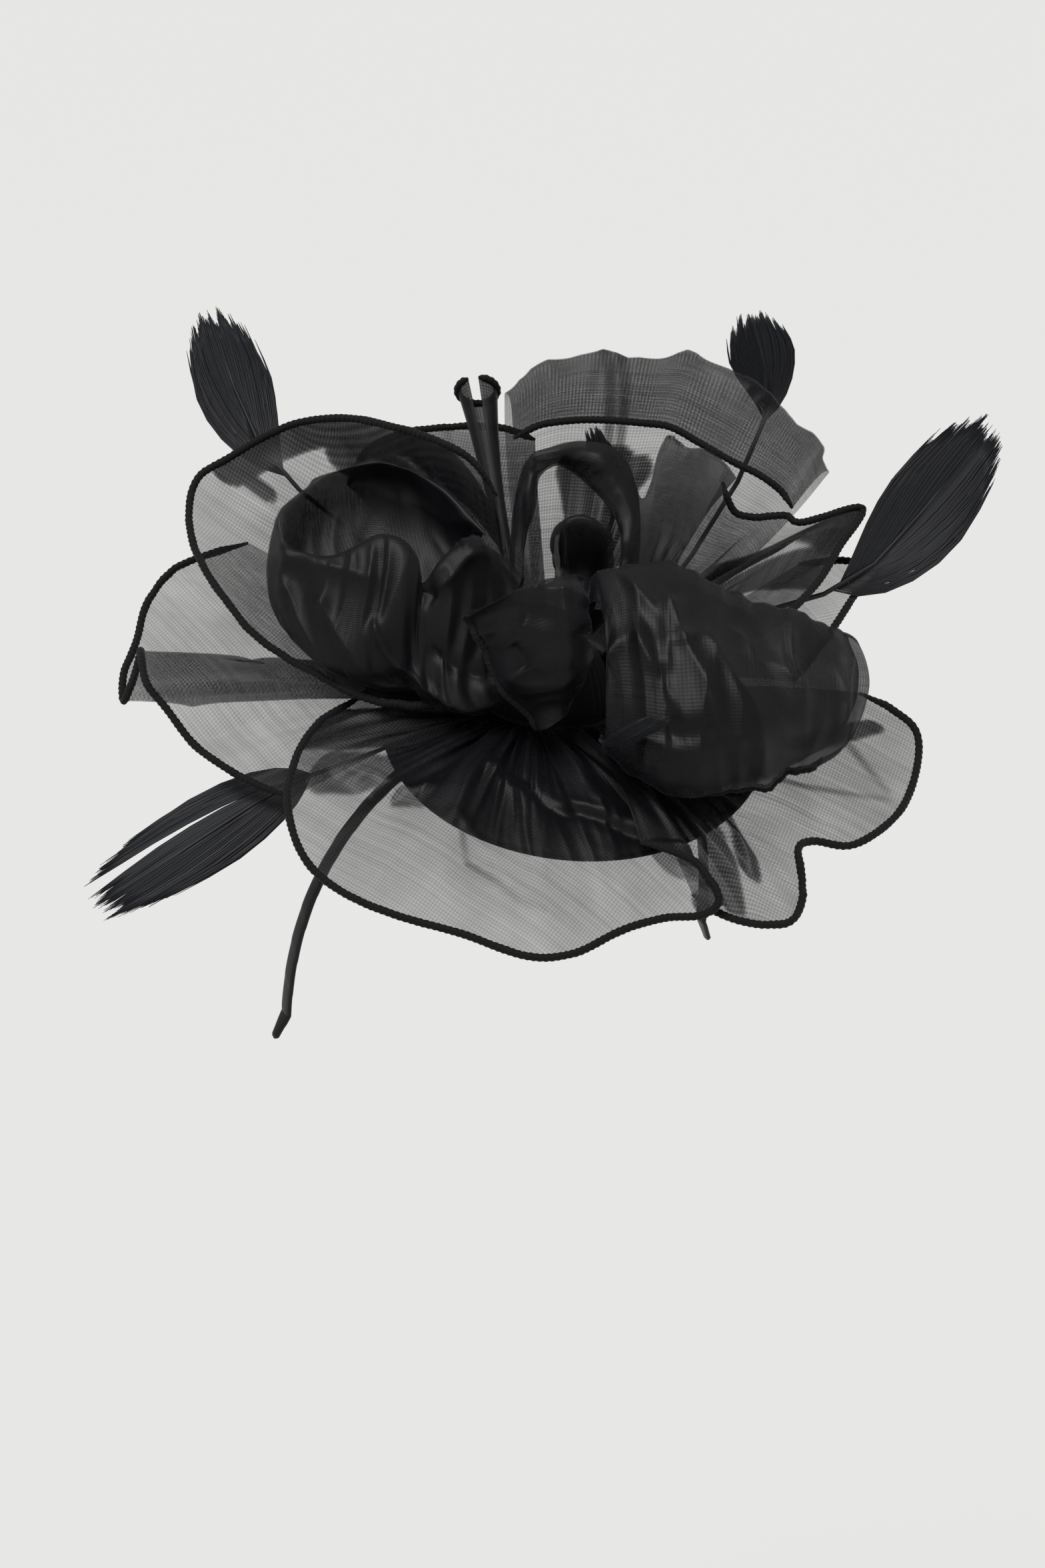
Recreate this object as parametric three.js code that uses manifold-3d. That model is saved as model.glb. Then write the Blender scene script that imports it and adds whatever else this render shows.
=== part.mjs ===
// Fascinator: a black organza flower with feathers on a domed base and a head band.
// Millimetres, +Z up as worn, the face looks to -Y. The origin is the inner face of
// the band at its highest point, where it sits on the head.

import * as THREE from "three";
import Module from "manifold-3d";
import { mergeVertices } from "three/addons/utils/BufferGeometryUtils.js";

const wasm = await Module();
wasm.setup();

const radians = THREE.MathUtils.degToRad;
const GAP = 0.3;

// Head band
const BAND_HALF_WIDTH = 72;
const BAND_HEIGHT = 84;
const BAND_ROUNDNESS = 2.2;
const BAND_LEAN = 9;
const BAND_STRIP_WIDTH = 5;
const BAND_THICKNESS = 1.6;
const BAND_TIP_LENGTH = 9;
const BAND_TIP_TURN = 24;
const BAND_TIP_TAPER = 0.6;
const BAND_CROWN = 0.8;
const BAND_STATIONS = 48;

// Flower frame: where the base sits on the band and how it tilts
const FLOWER_CENTRE = new THREE.Vector3(11, -12, 1.8);
const TILT_SIDE = 7.5;
const TILT_FORWARD = 20.7;
const TURN_ZERO = -28.5;

// Domed base
const BASE_RADIUS = 56;
const BASE_TOP = 2.4;
const BASE_THICKNESS = 2;
const BASE_DROP = 5;
const BASE_RINGS = 3;
const BASE_SIDES = 32;

// Stitched bundle that holds the gathers
const CORE_SIDE = -8;
const CORE_BACK = 3;
const CORE_LONG = 19;
const CORE_SHORT = 11;
const CORE_TAPER = 0.35;
const CORE_TOP = 26;
const CORE_RINGS = 4;
const CORE_SIDES = 20;

// Cloth: its wall, the thicker rolled hem, and where the hem starts and is full, in hem widths
const CLOTH = 1.0;
const HEM = 2.4;
const HEM_WIDTH = 2.6;
const HEM_START = 1.35;
const HEM_FULL = 0.9;

// Cloth facets: sections per table row, steps along a section, spare length of a curved section
const SECTIONS_PER_ROW = 1.25;
const STEPS = 5;
const HOOD_STEPS = 8;
const CURVE_ALLOWANCE = 1.1;
const NORMAL_STEP = 0.012;

// Shape factors of a cubic section: its height at a third when its middle is 1, and the
// factor that makes a gather ripple full at a third of the section
const BELLY_SHARE = 8 / 9;
const RIPPLE_PEAK = 6.75;

// Feathers
const QUILL = 0.7;
const QUILL_SIDES = 4;
const QUILL_STATIONS = 8;
const QUILL_REACH = 0.97;
const QUILL_TAPER = 0.4;
const BARB_THICKNESS = 0.9;

// Locks of barbs: steps along a lock, how much later the middle ones start, their overlap,
// how they widen, the width left at the trimmed tip, how far the vane cups
const LOCK_STATIONS = 3;
const LOCK_STAGGER = 0.16;
const LOCK_OVERLAP = 1.1;
const LOCK_WIDENING = 0.4;
const LOCK_TIP = 0.4;
const LOCK_CUP = 0.25;
const TRIM_STEP = 7;
const TRIM_CYCLE = 5;

// Materials
const organza = { color: 0x17171a, roughness: 0.5, metalness: 0, side: THREE.DoubleSide };
const satin = { color: 0x0d0d0f, roughness: 0.45, metalness: 0 };
const felt = { color: 0x0b0b0c, roughness: 0.9, metalness: 0 };
const feather = { color: 0x0a0a0c, roughness: 0.6, metalness: 0 };

// Petals: each row is one section from the gather to the hem. turn and reach place the
// hem around the flower centre, lift is its height over the base, belly lifts the middle.
const PETAL_COLUMNS = ["turn", "reach", "lift", "belly"];

const PETALS = {
  petal_front: {
    root: { from: 204, to: 290, lift: 3.6 },
    ripples: { count: 7, depth: 1.1 },
    rows: [
      [180, 60, 9.6, 2], [185, 67, 7.5, 3], [190, 76, 6, 4], [198, 85, 4, 4], [207, 93, 1, 4],
      [217, 98, -3, 4], [226, 98, -5, 5], [236, 95, -6, 6], [248, 91, -7, 6], [260, 93, -8, 6],
      [268, 90, -8, 7], [277, 83, -6, 7], [286, 80, -6, 7], [295, 81, -7, 6], [299, 79, -4, 8],
      [297, 70, 3, 9], [285, 61, 6, 8],
    ],
  },
  petal_right_front: {
    root: { from: 297, to: 352, lift: 3.6 },
    ripples: { count: 5, depth: 0.8 },
    rows: [
      [297, 70, -10, 9], [299, 77, -11, 9], [302, 84, -11, 8], [305, 90, -10, 8], [309, 93, -10, 8],
      [313, 91, -9, 7], [317, 86, -7, 6], [322, 79, -4, 4], [327, 80, -5, 5], [331, 90, -6, 6],
      [340, 97, -5, 5], [348, 100, -3, 5], [356, 101, 1, 4], [360, 97, 5, 4], [365, 84, 8, 4],
    ],
  },
  petal_right_back: {
    root: { from: 4, to: 44, lift: 3.6 },
    ripples: { count: 3, depth: 1.0 },
    rows: [
      [12, 66, 6, 4], [18, 75, 9, 4], [24, 86, 11, 5], [29, 97, 12, 5], [34, 112, 12, 4],
      [38, 106, 12, 1], [42, 94, 12, -1],
    ],
  },
  petal_back_left: {
    root: { from: 84, to: 130, lift: 3.6 },
    ripples: { count: 3, depth: 1.0 },
    rows: [
      [97, 95, 32, -5], [102, 102, 32, -5], [107, 106, 31, -4], [112, 109, 30, -2], [117, 113, 28, 0],
      [123, 114, 25, 4], [130, 106, 21, 4],
    ],
  },
  petal_left: {
    root: { from: 140, to: 194, lift: 3.6 },
    ripples: { count: 5, depth: 0.8 },
    rows: [
      [149, 114, 15, 1], [154, 125, 12, 1], [158, 131, 9, 2], [163, 133, 5, 2], [169, 132, 2, 1],
      [174, 133, 0, -1], [178, 132, -3, -2], [177, 130, 1, 2], [172, 129, 4, 3], [174, 128, 8, 5],
      [179, 125, 6, 5], [182, 119, 2, 4], [187, 112, -2, 4], [192, 105, -3, 4], [197, 97, -4, 2.6],
      [202, 88, -5, 1.4],
    ],
  },
  petal_upper_left: {
    root: { from: 196, to: 118, lift: 12 },
    ripples: { count: 5, depth: 0.8 },
    rows: [
      [196, 36, 13, 0], [195, 52, 15, -1], [189, 67, 16, -2], [181, 82, 19, -3], [176, 94, 22, -4],
      [170, 105, 25, -4], [163, 117, 29, -4], [156, 126, 32, -5], [151, 129, 36, -6],
      [147, 124, 40, -7], [142, 118, 45, -8], [138, 110, 50, -9], [135, 95, 56, -9],
      [132, 76, 60, -9], [128, 63, 60, -8], [124, 56, 56, -7], [121, 49, 49, -5],
    ],
  },
  petal_right_fan: {
    root: { from: 354, to: 406, lift: 15 },
    ripples: { count: 0, depth: 0 },
    rows: [
      [20, 58, 18, 3], [24, 68, 20, 4], [30, 84, 22, 5], [35, 98, 25, 5], [39, 113, 28, 3],
      [42, 92, 29, 0], [45, 90, 30, 3], [48, 83, 30, 0], [51.5, 79, 31, -1], [55, 81, 32, -4],
      [58.5, 86, 34, -6],
    ],
  },
};

// The hood at the back: its wall sags low behind the other petals by the drop, rises over a
// crest, and its hem hangs in front of the crest.
const HOOD_COLUMNS = ["turn", "reach", "lift", "crestReach", "crestLift", "drop"];
const HOOD = {
  root: { from: 100, to: 62, lift: 14.5 },
  wallShare: 0.7,
  rows: [
    [104, 80, 44, 88, 50, 13], [98, 83, 46, 94, 54, 17], [91, 84, 47, 97, 57, 19],
    [84, 84, 48, 97, 58, 20], [77, 85, 48, 99, 58, 20], [71, 86, 48, 103, 58, 20],
    [64, 86, 45, 104, 56, 19], [57, 87, 42, 105, 52, 18], [52, 89, 40, 105, 48, 16],
    [48, 92, 36, 108, 43, 14], [46, 92, 34, 107, 40, 13], [44.5, 92, 32, 105, 37, 11],
  ],
};

// Rolled petals: each row gives the outer curve and the rim of a section that starts at
// the stitched bundle. Each place is side, back and lift in the flower frame.
const ROLL_COLUMNS = ["waist", "bulge", "rim"];
const ROLLS = {
  left_swirl: {
    root: { from: 258, to: 142, lift: 19, liftTo: 24 },
    rows: [
      [[-20, -9, 24], [-20, 3, 33], [-18, 10, 44]],
      [[-26, -12, 22], [-26, 1, 33], [-27, 15, 50]],
      [[-33, -13, 20], [-36, -2, 35], [-35, 13, 54]],
      [[-39, -13, 19], [-42, -4, 35], [-42, 8, 51]],
      [[-44, -12, 19], [-48, -3, 33], [-47, 6, 44]],
      [[-48, -11, 19], [-53, -5, 35], [-51, 13, 52]],
      [[-54, -11, 20], [-59, -4, 35], [-59, 15, 54]],
      [[-60, -10, 21], [-66, -3, 35], [-66, 13, 51]],
      [[-66, -7, 21], [-73, 0, 34], [-72, 12, 48]],
      [[-71, -4, 22], [-80, 4, 33], [-78, 13, 47]],
      [[-76, 2, 23], [-86, 9, 33], [-86, 18, 47]],
      [[-76, 10, 24], [-89, 21, 34], [-88, 28, 50]],
      [[-70, 20, 25], [-82, 37, 35], [-80, 37, 53]],
      [[-59, 23, 27], [-71, 45, 38], [-69, 43, 56]],
      [[-49, 24, 28], [-57, 45, 40], [-56, 44, 57]],
      [[-37, 22, 29], [-43, 38, 40], [-42, 36, 55]],
      [[-29, 19, 28], [-31, 28, 38], [-29, 22, 50]],
    ],
  },
  centre_swirl: {
    root: { from: 106, to: 66, lift: 19, liftTo: 20 },
    rows: [
      [[-6, 38, 27], [-6, 41, 33], [-5, 41, 37]],
      [[-5, 35, 26], [-7, 38, 34], [-6, 39, 42]],
      [[-2, 34, 25], [-4, 36, 34], [-4, 37, 46]],
      [[1, 32, 25], [0, 36, 34], [0, 37, 47]],
      [[4, 33, 25], [4, 35, 34], [4, 36, 46]],
      [[7, 34, 26], [7, 37, 34], [7, 36, 43]],
      [[9, 37, 27], [9, 41, 34], [8, 40, 42]],
    ],
  },
  centre_sheet: {
    root: { from: 57, to: 22, lift: 19.5, liftTo: 19.5 },
    rows: [
      [[15, 43, 25], [16, 56, 34], [15, 62, 46]],
      [[17, 43, 24], [18, 51, 32], [19, 57, 39]],
      [[20, 44, 24], [22, 53, 34], [23, 64, 43]],
      [[22, 46, 24], [25, 57, 36], [26, 71, 52]],
      [[24, 46, 24], [29, 58, 36], [32, 67, 51]],
      [[25, 46, 23], [32, 58, 35], [38, 68, 50]],
      [[27, 45, 22], [34, 56, 33], [43, 65, 48]],
      [[28, 43, 22], [35, 53, 30], [47, 61, 45]],
    ],
  },
};

// Folds: each row gives a section from its rear edge over the fold to its hem at the foot.
// The strip that winds round the swirl has its inner edge as its rear. Each place is side,
// back and lift in the flower frame.
const FOLD_COLUMNS = ["rear", "top", "front", "foot"];
const FOLDS = {
  centre_arch: [
    [[-12.5, 15.3, 17], [-14, 15.1, 17], [-15.5, 14.8, 17], [-17, 14.5, 17]],
    [[-17, 27, 27], [-18, 27, 28], [-19, 28, 28], [-20, 28, 27]],
    [[-16, 37, 38], [-17, 39, 40], [-18, 41, 41], [-20, 43, 40]],
    [[-14, 43, 45], [-16, 44, 49], [-17, 47, 50], [-19, 48, 49]],
    [[-13, 49, 51], [-14, 50, 54], [-15, 51, 56], [-16, 52, 55]],
    [[-8, 53, 53], [-8, 52, 57], [-8, 52, 59], [-7, 56, 58]],
    [[-3, 53, 51], [-2, 52, 56], [-1, 54, 58], [0, 59, 57]],
    [[2, 49, 49], [4, 50, 54], [6, 53, 57], [7, 59, 56]],
    [[7, 44, 46], [9, 47, 50], [11, 51, 53], [13, 57, 52]],
    [[11, 39, 42], [13, 41, 45], [15, 45, 47], [16, 51, 46]],
    [[12, 33, 38], [14, 34, 40], [16, 38, 41], [17, 43, 40]],
    [[11, 29, 33], [13, 30, 34], [15, 32, 34], [17, 35, 33]],
    [[7, 26, 29], [9, 25, 29], [12, 25, 28], [14, 26, 27]],
  ],
  front_fold: [
    [[-4, -1, 50], [-9, -10, 60], [-22, -11, 54], [-35, -9, 45]],
    [[-3, -9, 44], [-7, -18, 55], [-19, -17, 49], [-30, -12, 40]],
    [[-2, -14, 36], [-5, -23, 46], [-16, -23, 40], [-25, -16, 32]],
    [[-3, -13, 29], [-5, -25, 35], [-13, -25, 31], [-20, -21, 25]],
    [[-6, -5.2, 23], [-5, -20, 25], [-8, -26, 22], [-12, -24, 18]],
  ],
  front_swoop: [
    [[3, 5, 28], [5, -12, 47], [7, -33, 32], [6, -25, 17]],
    [[10, 9, 34], [9, -7, 51], [11, -38, 34], [13, -31, 13]],
    [[20, 11, 38], [19, -8, 53], [21, -43, 36], [23, -38, 11]],
    [[32, 9, 39], [31, -9, 51], [34, -42, 35], [36, -41, 10]],
    [[46, 5, 39], [45, -12, 46], [47, -38, 33], [48, -38, 10]],
    [[60, 2, 39], [58, -14, 43], [59, -32, 30], [58, -34, 12]],
    [[69, -1, 39], [72, -15, 37], [71, -28, 25], [64, -32, 14]],
    [[74, -4, 39], [80, -13, 33], [77, -24, 24], [68, -30, 16]],
  ],
};

// Small curl at the back: a funnel whose open end stands over the petals.
const CURL = {
  turn: 108, reach: 98, lift: 50, radius: 6, throat: 1.2, oval: 0.8,
  rootTurn: 109, rootLift: 11, sag: 3, from: 120, sweep: 330, rows: 8,
};

// Feathers: where the quill starts, its further points as side, back and lift, then the
// vane: its share of the quill, the number of locks, the half width at the tip, how ragged
// the trimmed tip is and which way it lies flat.
const FEATHERS = {
  feather_upper_left: {
    root: { turn: 150, lift: 7.8 }, quill: [[-60, 54, 17], [-94, 85, 30], [-113, 119, 58]],
    vaneFrom: 0.62, locks: 7, width: 8, trim: 0.08, flat: [0.8, 0.2, 0],
  },
  feather_lower_left: {
    start: [-45, -10, 0.6], quill: [[-68, -18, -5], [-90, -27, -11], [-137, -60, -27]],
    vaneFrom: 0.38, locks: 8, width: 11, trim: 0.12, flat: [-0.3, 0.9, 0.2],
  },
  feather_upper_right: {
    root: { turn: 62, lift: 6.6 }, quill: [[30, 56, 6], [60, 106, 33], [54, 122, 64]],
    vaneFrom: 0.72, locks: 6, width: 8, trim: 0.1, flat: [1, 0, 0],
  },
  feather_right: {
    root: { turn: 24, lift: 9 }, quill: [[50, 29, 17], [89, 52, 19.5], [126, 82, 55]],
    vaneFrom: 0.56, locks: 8, width: 14, trim: 0.12, flat: [-0.6, 0.3, 0.75],
  },
  feather_centre: {
    root: { turn: 76, lift: 6.4 }, quill: [[6, 46, 5], [14, 84, 16], [6, 105, 31]],
    vaneFrom: 0.7, locks: 4, width: 4, trim: 0.2, flat: [1, 0, 0],
  },
  feather_front: {
    start: [4.3, -31, 19], quill: [[6.6, -43, 28], [12, -50, 38], [20, -53, 48]],
    vaneFrom: 0.2, locks: 4, width: 6, trim: 0.15, flat: [1, 0.2, 0],
  },
};

// Reads a row of a table by the names of its columns.
function named(columns, row) {
  return Object.fromEntries(columns.map((name, index) => [name, row[index]]));
}

// A place in the flower frame from its turn around the centre.
function polar(turn, reach, lift) {
  const angle = radians(turn);
  return new THREE.Vector3(reach * Math.cos(angle), reach * Math.sin(angle), lift);
}

// Half sizes of the stitched bundle at a height.
function coreScale(lift) {
  return 1 - CORE_TAPER * (lift / CORE_TOP) ** 2;
}

// A place just outside the stitched bundle, where a gather or a quill starts.
function rootPoint(turn, lift, half = CLOTH / 2) {
  const angle = radians(turn);
  const clear = GAP + half;
  const side = CORE_SIDE + (CORE_LONG * coreScale(lift) + clear) * Math.cos(angle);
  const back = CORE_BACK + (CORE_SHORT * coreScale(lift) + clear) * Math.sin(angle);
  return new THREE.Vector3(side, back, lift);
}

// Catmull-Rom value through a list of vectors at a share between 0 and 1.
function alongRows(points, share) {
  const place = share * (points.length - 1);
  const index = Math.min(Math.floor(place), points.length - 2);
  const t = place - index;
  const at = (k) => points[Math.max(0, Math.min(points.length - 1, k))];
  const [p0, p1, p2, p3] = [at(index - 1), at(index), at(index + 1), at(index + 2)];
  const blend = (a, b, c, d) => {
    const square = 2 * a - 5 * b + 4 * c - d;
    const cube = 3 * b - a - 3 * c + d;
    return 0.5 * (2 * b + (c - a) * t + square * t ** 2 + cube * t ** 3);
  };
  return new THREE.Vector3(
    blend(p0.x, p1.x, p2.x, p3.x),
    blend(p0.y, p1.y, p2.y, p3.y),
    blend(p0.z, p1.z, p2.z, p3.z),
  );
}

// The cubic that passes through four points at 0, 1/3, 2/3 and 1.
function throughFour(points, t) {
  const weights = [
    -4.5 * (t - 1 / 3) * (t - 2 / 3) * (t - 1),
    13.5 * t * (t - 2 / 3) * (t - 1),
    -13.5 * t * (t - 1 / 3) * (t - 1),
    4.5 * t * (t - 1 / 3) * (t - 2 / 3),
  ];
  const place = new THREE.Vector3();
  points.forEach((point, index) => place.addScaledVector(point, weights[index]));
  return place;
}

// A surface over two shares: across the rows, and along each section of four points.
function surfaceThrough(sections, ripples = { count: 0, depth: 0 }) {
  return (across, along) => {
    const four = [0, 1, 2, 3].map((k) => alongRows(sections.map((section) => section[k]), across));
    const place = throughFour(four, along);
    const swell = along * (1 - along) ** 2 * RIPPLE_PEAK;
    place.z += ripples.depth * swell * Math.cos(2 * Math.PI * ripples.count * across);
    return place;
  };
}

// The four points of a petal's section: gather, waist, shoulder and hem.
function petalSection(row, root, share) {
  const hem = polar(row.turn, row.reach, row.lift);
  const rootTurn = THREE.MathUtils.lerp(root.from, root.to, share);
  const gather = rootPoint(rootTurn, root.lift);
  const waist = gather.clone().lerp(hem, 1 / 3);
  const shoulder = gather.clone().lerp(hem, 2 / 3);
  waist.z += row.belly * BELLY_SHARE;
  shoulder.z += row.belly * BELLY_SHARE;
  return [gather, waist, shoulder, hem];
}

// The four points of the hood's section: gather, wall, crest and hem.
function hoodSection(row, { root, wallShare }, share) {
  const gather = rootPoint(THREE.MathUtils.lerp(root.from, root.to, share), root.lift);
  const crest = polar(row.turn, row.crestReach, row.crestLift);
  const wall = gather.clone().lerp(crest, wallShare);
  wall.z -= row.drop;
  return [gather, wall, crest, polar(row.turn, row.reach, row.lift)];
}

// The four points of a rolled petal's section: gather, waist, bulge and rim.
function rollSection(row, root, share) {
  const turn = THREE.MathUtils.lerp(root.from, root.to, share);
  const lift = THREE.MathUtils.lerp(root.lift, root.liftTo, share);
  const { waist, bulge, rim } = named(ROLL_COLUMNS, row);
  return [rootPoint(turn, lift), ...[waist, bulge, rim].map((place) => new THREE.Vector3(...place))];
}

// The four points of a fold's section: rear, top, front and foot.
function foldSection(row) {
  const { rear, top, front, foot } = named(FOLD_COLUMNS, row);
  return [rear, top, front, foot].map((place) => new THREE.Vector3(...place));
}

// Shares along a section, closer together at the hem where the wall thickens to a bead.
function alongShares(length, steps) {
  const bead = HEM_WIDTH / length;
  const shares = [];
  for (let step = 0; step <= steps; step += 1) {
    shares.push((1 - HEM_START * bead) * step / steps);
  }
  shares.push(1 - HEM_FULL * bead, 1);
  return shares;
}

// A closed wall around a surface, thicker at the last two steps.
function clothGeometry(surface, rowCount, steps = STEPS) {
  const sections = Math.round(rowCount * SECTIONS_PER_ROW);
  const length = surface(0.5, 0).distanceTo(surface(0.5, 1)) * CURVE_ALLOWANCE;
  const shares = alongShares(length, steps);
  const front = [];
  const rear = [];
  for (let i = 0; i <= sections; i += 1) {
    const across = i / sections;
    for (let j = 0; j < shares.length; j += 1) {
      const place = surface(across, shares[j]);
      const normal = surfaceNormal(surface, across, shares[j]);
      const half = (j >= shares.length - 2 ? HEM : CLOTH) / 2;
      front.push(place.clone().addScaledVector(normal, half));
      rear.push(place.clone().addScaledVector(normal, -half));
    }
  }
  return closedWall(front, rear, sections + 1, shares.length);
}

// The direction square to a surface at a place on it.
function surfaceNormal(surface, across, along) {
  const a = surface(Math.min(1, across + NORMAL_STEP), along);
  const b = surface(Math.max(0, across - NORMAL_STEP), along);
  const c = surface(across, Math.min(1, along + NORMAL_STEP));
  const d = surface(across, Math.max(0, along - NORMAL_STEP));
  return a.sub(b).cross(c.sub(d)).normalize();
}

// Joins two grids of points into one closed body.
function closedWall(front, rear, rows, columns) {
  const points = [...front, ...rear];
  const offset = front.length;
  const faces = [];
  const quad = (a, b, c, d) => faces.push(a, b, c, a, c, d);
  for (let i = 0; i < rows - 1; i += 1) {
    for (let j = 0; j < columns - 1; j += 1) {
      const a = i * columns + j;
      quad(a, a + columns, a + columns + 1, a + 1);
      quad(a + offset, a + 1 + offset, a + columns + 1 + offset, a + columns + offset);
    }
  }
  for (let i = 0; i < rows - 1; i += 1) {
    const a = i * columns;
    const b = a + columns - 1;
    quad(a, a + offset, a + columns + offset, a + columns);
    quad(b, b + columns, b + columns + offset, b + offset);
  }
  for (let j = 0; j < columns - 1; j += 1) {
    const b = (rows - 1) * columns + j;
    quad(j, j + 1, j + 1 + offset, j + offset);
    quad(b, b + offset, b + 1 + offset, b + 1);
  }
  return facingOut(points, faces);
}

// A geometry from points and faces, turned so that its volume is positive.
function facingOut(points, faces) {
  let volume = 0;
  for (let k = 0; k < faces.length; k += 3) {
    const [a, b, c] = [points[faces[k]], points[faces[k + 1]], points[faces[k + 2]]];
    volume += a.dot(b.clone().cross(c));
  }
  if (volume < 0) faces.reverse();
  const geometry = new THREE.BufferGeometry();
  const flat = points.flatMap((p) => p.toArray());
  geometry.setAttribute("position", new THREE.Float32BufferAttribute(flat, 3));
  geometry.setIndex(faces);
  geometry.computeVertexNormals();
  return geometry;
}

// A body lofted through closed rings of equal size, with flat ends.
function loftGeometry(rings) {
  const count = rings[0].length;
  const points = rings.flat();
  const faces = [];
  for (let i = 0; i < rings.length - 1; i += 1) {
    for (let k = 0; k < count; k += 1) {
      const a = i * count + k;
      const b = i * count + (k + 1) % count;
      faces.push(a, b, b + count, a, b + count, a + count);
    }
  }
  const last = (rings.length - 1) * count;
  for (let k = 1; k < count - 1; k += 1) {
    faces.push(0, k + 1, k);
    faces.push(last, last + k, last + k + 1);
  }
  return facingOut(points, faces);
}

// The band: a strip along a rounded arch, narrower at its turned out tips.
function bandGeometry() {
  const path = [];
  for (let i = 0; i <= BAND_STATIONS; i += 1) {
    const angle = Math.PI * (i / BAND_STATIONS - 0.5);
    const power = 2 / BAND_ROUNDNESS;
    const x = BAND_HALF_WIDTH * Math.sign(angle) * Math.abs(Math.sin(angle)) ** power;
    const z = BAND_HEIGHT * (Math.cos(angle) ** power - 1);
    path.push(new THREE.Vector2(x, Math.abs(angle) > Math.PI / 2 - 1e-6 ? -BAND_HEIGHT : z));
  }
  const turn = radians(BAND_TIP_TURN);
  const tip = new THREE.Vector2(Math.sin(turn), -Math.cos(turn)).multiplyScalar(BAND_TIP_LENGTH);
  path.push(path[BAND_STATIONS].clone().add(tip));
  path.unshift(new THREE.Vector2(path[0].x - tip.x, path[0].y + tip.y));
  const rings = path.map((place, i) => {
    const before = path[Math.max(0, i - 1)];
    const after = path[Math.min(path.length - 1, i + 1)];
    const along = after.clone().sub(before).normalize();
    const out = new THREE.Vector2(-along.y, along.x);
    const end = i === 0 || i === path.length - 1;
    const half = BAND_STRIP_WIDTH / 2 * (end ? BAND_TIP_TAPER : 1);
    const crown = half * BAND_CROWN;
    const outer = place.clone().addScaledVector(out, BAND_THICKNESS);
    return [[place, -half], [outer, -crown], [outer, crown], [place, half]].map(
      ([p, across]) => new THREE.Vector3(p.x, across, p.y),
    );
  });
  return loftGeometry(rings).rotateX(radians(BAND_LEAN));
}

// The domed base disc, a thin shell that falls away to its rim.
function baseGeometry() {
  const drop = (radius) => BASE_DROP * (radius / BASE_RADIUS) ** 2;
  const upper = [];
  for (let ring = 0; ring <= BASE_RINGS; ring += 1) {
    const radius = BASE_RADIUS * ring / BASE_RINGS;
    upper.push(new THREE.Vector2(radius, BASE_TOP - drop(radius)));
  }
  const lower = upper.map((place) => new THREE.Vector2(place.x, place.y - BASE_THICKNESS));
  return latheGeometry([...lower, ...upper.reverse()], BASE_SIDES);
}

// The stitched bundle, an oval dome that narrows upward.
function coreGeometry() {
  const bottom = BASE_TOP + GAP;
  const profile = [new THREE.Vector2(0, bottom)];
  for (let ring = 0; ring <= CORE_RINGS; ring += 1) {
    const height = THREE.MathUtils.lerp(bottom, CORE_TOP, ring / CORE_RINGS);
    profile.push(new THREE.Vector2(coreScale(height), height));
  }
  profile.push(new THREE.Vector2(0, CORE_TOP));
  const geometry = latheGeometry(profile, CORE_SIDES);
  geometry.scale(CORE_LONG, CORE_SHORT, 1);
  return geometry.translate(CORE_SIDE, CORE_BACK, 0);
}

// A turned body around +Z from a profile of radius and height.
function latheGeometry(profile, segments) {
  return merged(new THREE.LatheGeometry(profile, segments).rotateX(Math.PI / 2));
}

// Only positions, with shared corners joined.
function merged(geometry) {
  geometry.deleteAttribute("normal");
  geometry.deleteAttribute("uv");
  const joined = mergeVertices(geometry, 1e-4);
  joined.computeVertexNormals();
  return joined;
}

// The curl: a funnel of cloth from the gathers to an open ring.
function curlGeometry() {
  const root = rootPoint(CURL.rootTurn, CURL.rootLift);
  const ring = polar(CURL.turn, CURL.reach, CURL.lift);
  const surface = (across, along) => {
    const angle = radians(CURL.from + CURL.sweep * across);
    const place = root.clone().lerp(ring, along);
    place.z -= CURL.sag * Math.sin(Math.PI * along);
    const size = THREE.MathUtils.lerp(CURL.throat, CURL.radius, along ** 3);
    place.x += size * Math.cos(angle);
    place.z += size * Math.sin(angle) * CURL.oval;
    return place;
  };
  return clothGeometry(surface, CURL.rows);
}

// One feather: a quill with locks of barbs fused to it.
function featherGeometry(spec) {
  const { root, start, quill } = spec;
  const first = root ? rootPoint(root.turn, root.lift, QUILL / 2) : new THREE.Vector3(...start);
  const points = [first, ...quill.map((place) => new THREE.Vector3(...place))];
  const curve = new THREE.CatmullRomCurve3(points);
  const flat = new THREE.Vector3(...spec.flat).normalize();
  const rings = [];
  for (let i = 0; i <= QUILL_STATIONS; i += 1) {
    const share = i / QUILL_STATIONS;
    rings.push(ringAround(curve, share * QUILL_REACH, flat, QUILL * (1 - QUILL_TAPER * share), QUILL));
  }
  let body = solidOf(loftGeometry(rings));
  for (let k = 0; k < spec.locks; k += 1) {
    const share = k / (spec.locks - 1) * 2 - 1;
    body = body.add(solidOf(lockGeometry(curve, flat, share, spec, k)));
  }
  return geometryOf(body);
}

// A small closed ring of points across a curve.
function ringAround(curve, share, flat, half, thick) {
  const centre = curve.getPoint(share);
  const along = curve.getTangent(share);
  const across = flat.clone().addScaledVector(along, -flat.dot(along)).normalize();
  const out = along.clone().cross(across);
  const ring = [];
  for (let k = 0; k < QUILL_SIDES; k += 1) {
    const angle = 2 * Math.PI * k / QUILL_SIDES;
    const place = centre.clone().addScaledVector(across, half * Math.cos(angle));
    ring.push(place.addScaledVector(out, thick * Math.sin(angle)));
  }
  return ring;
}

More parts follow.
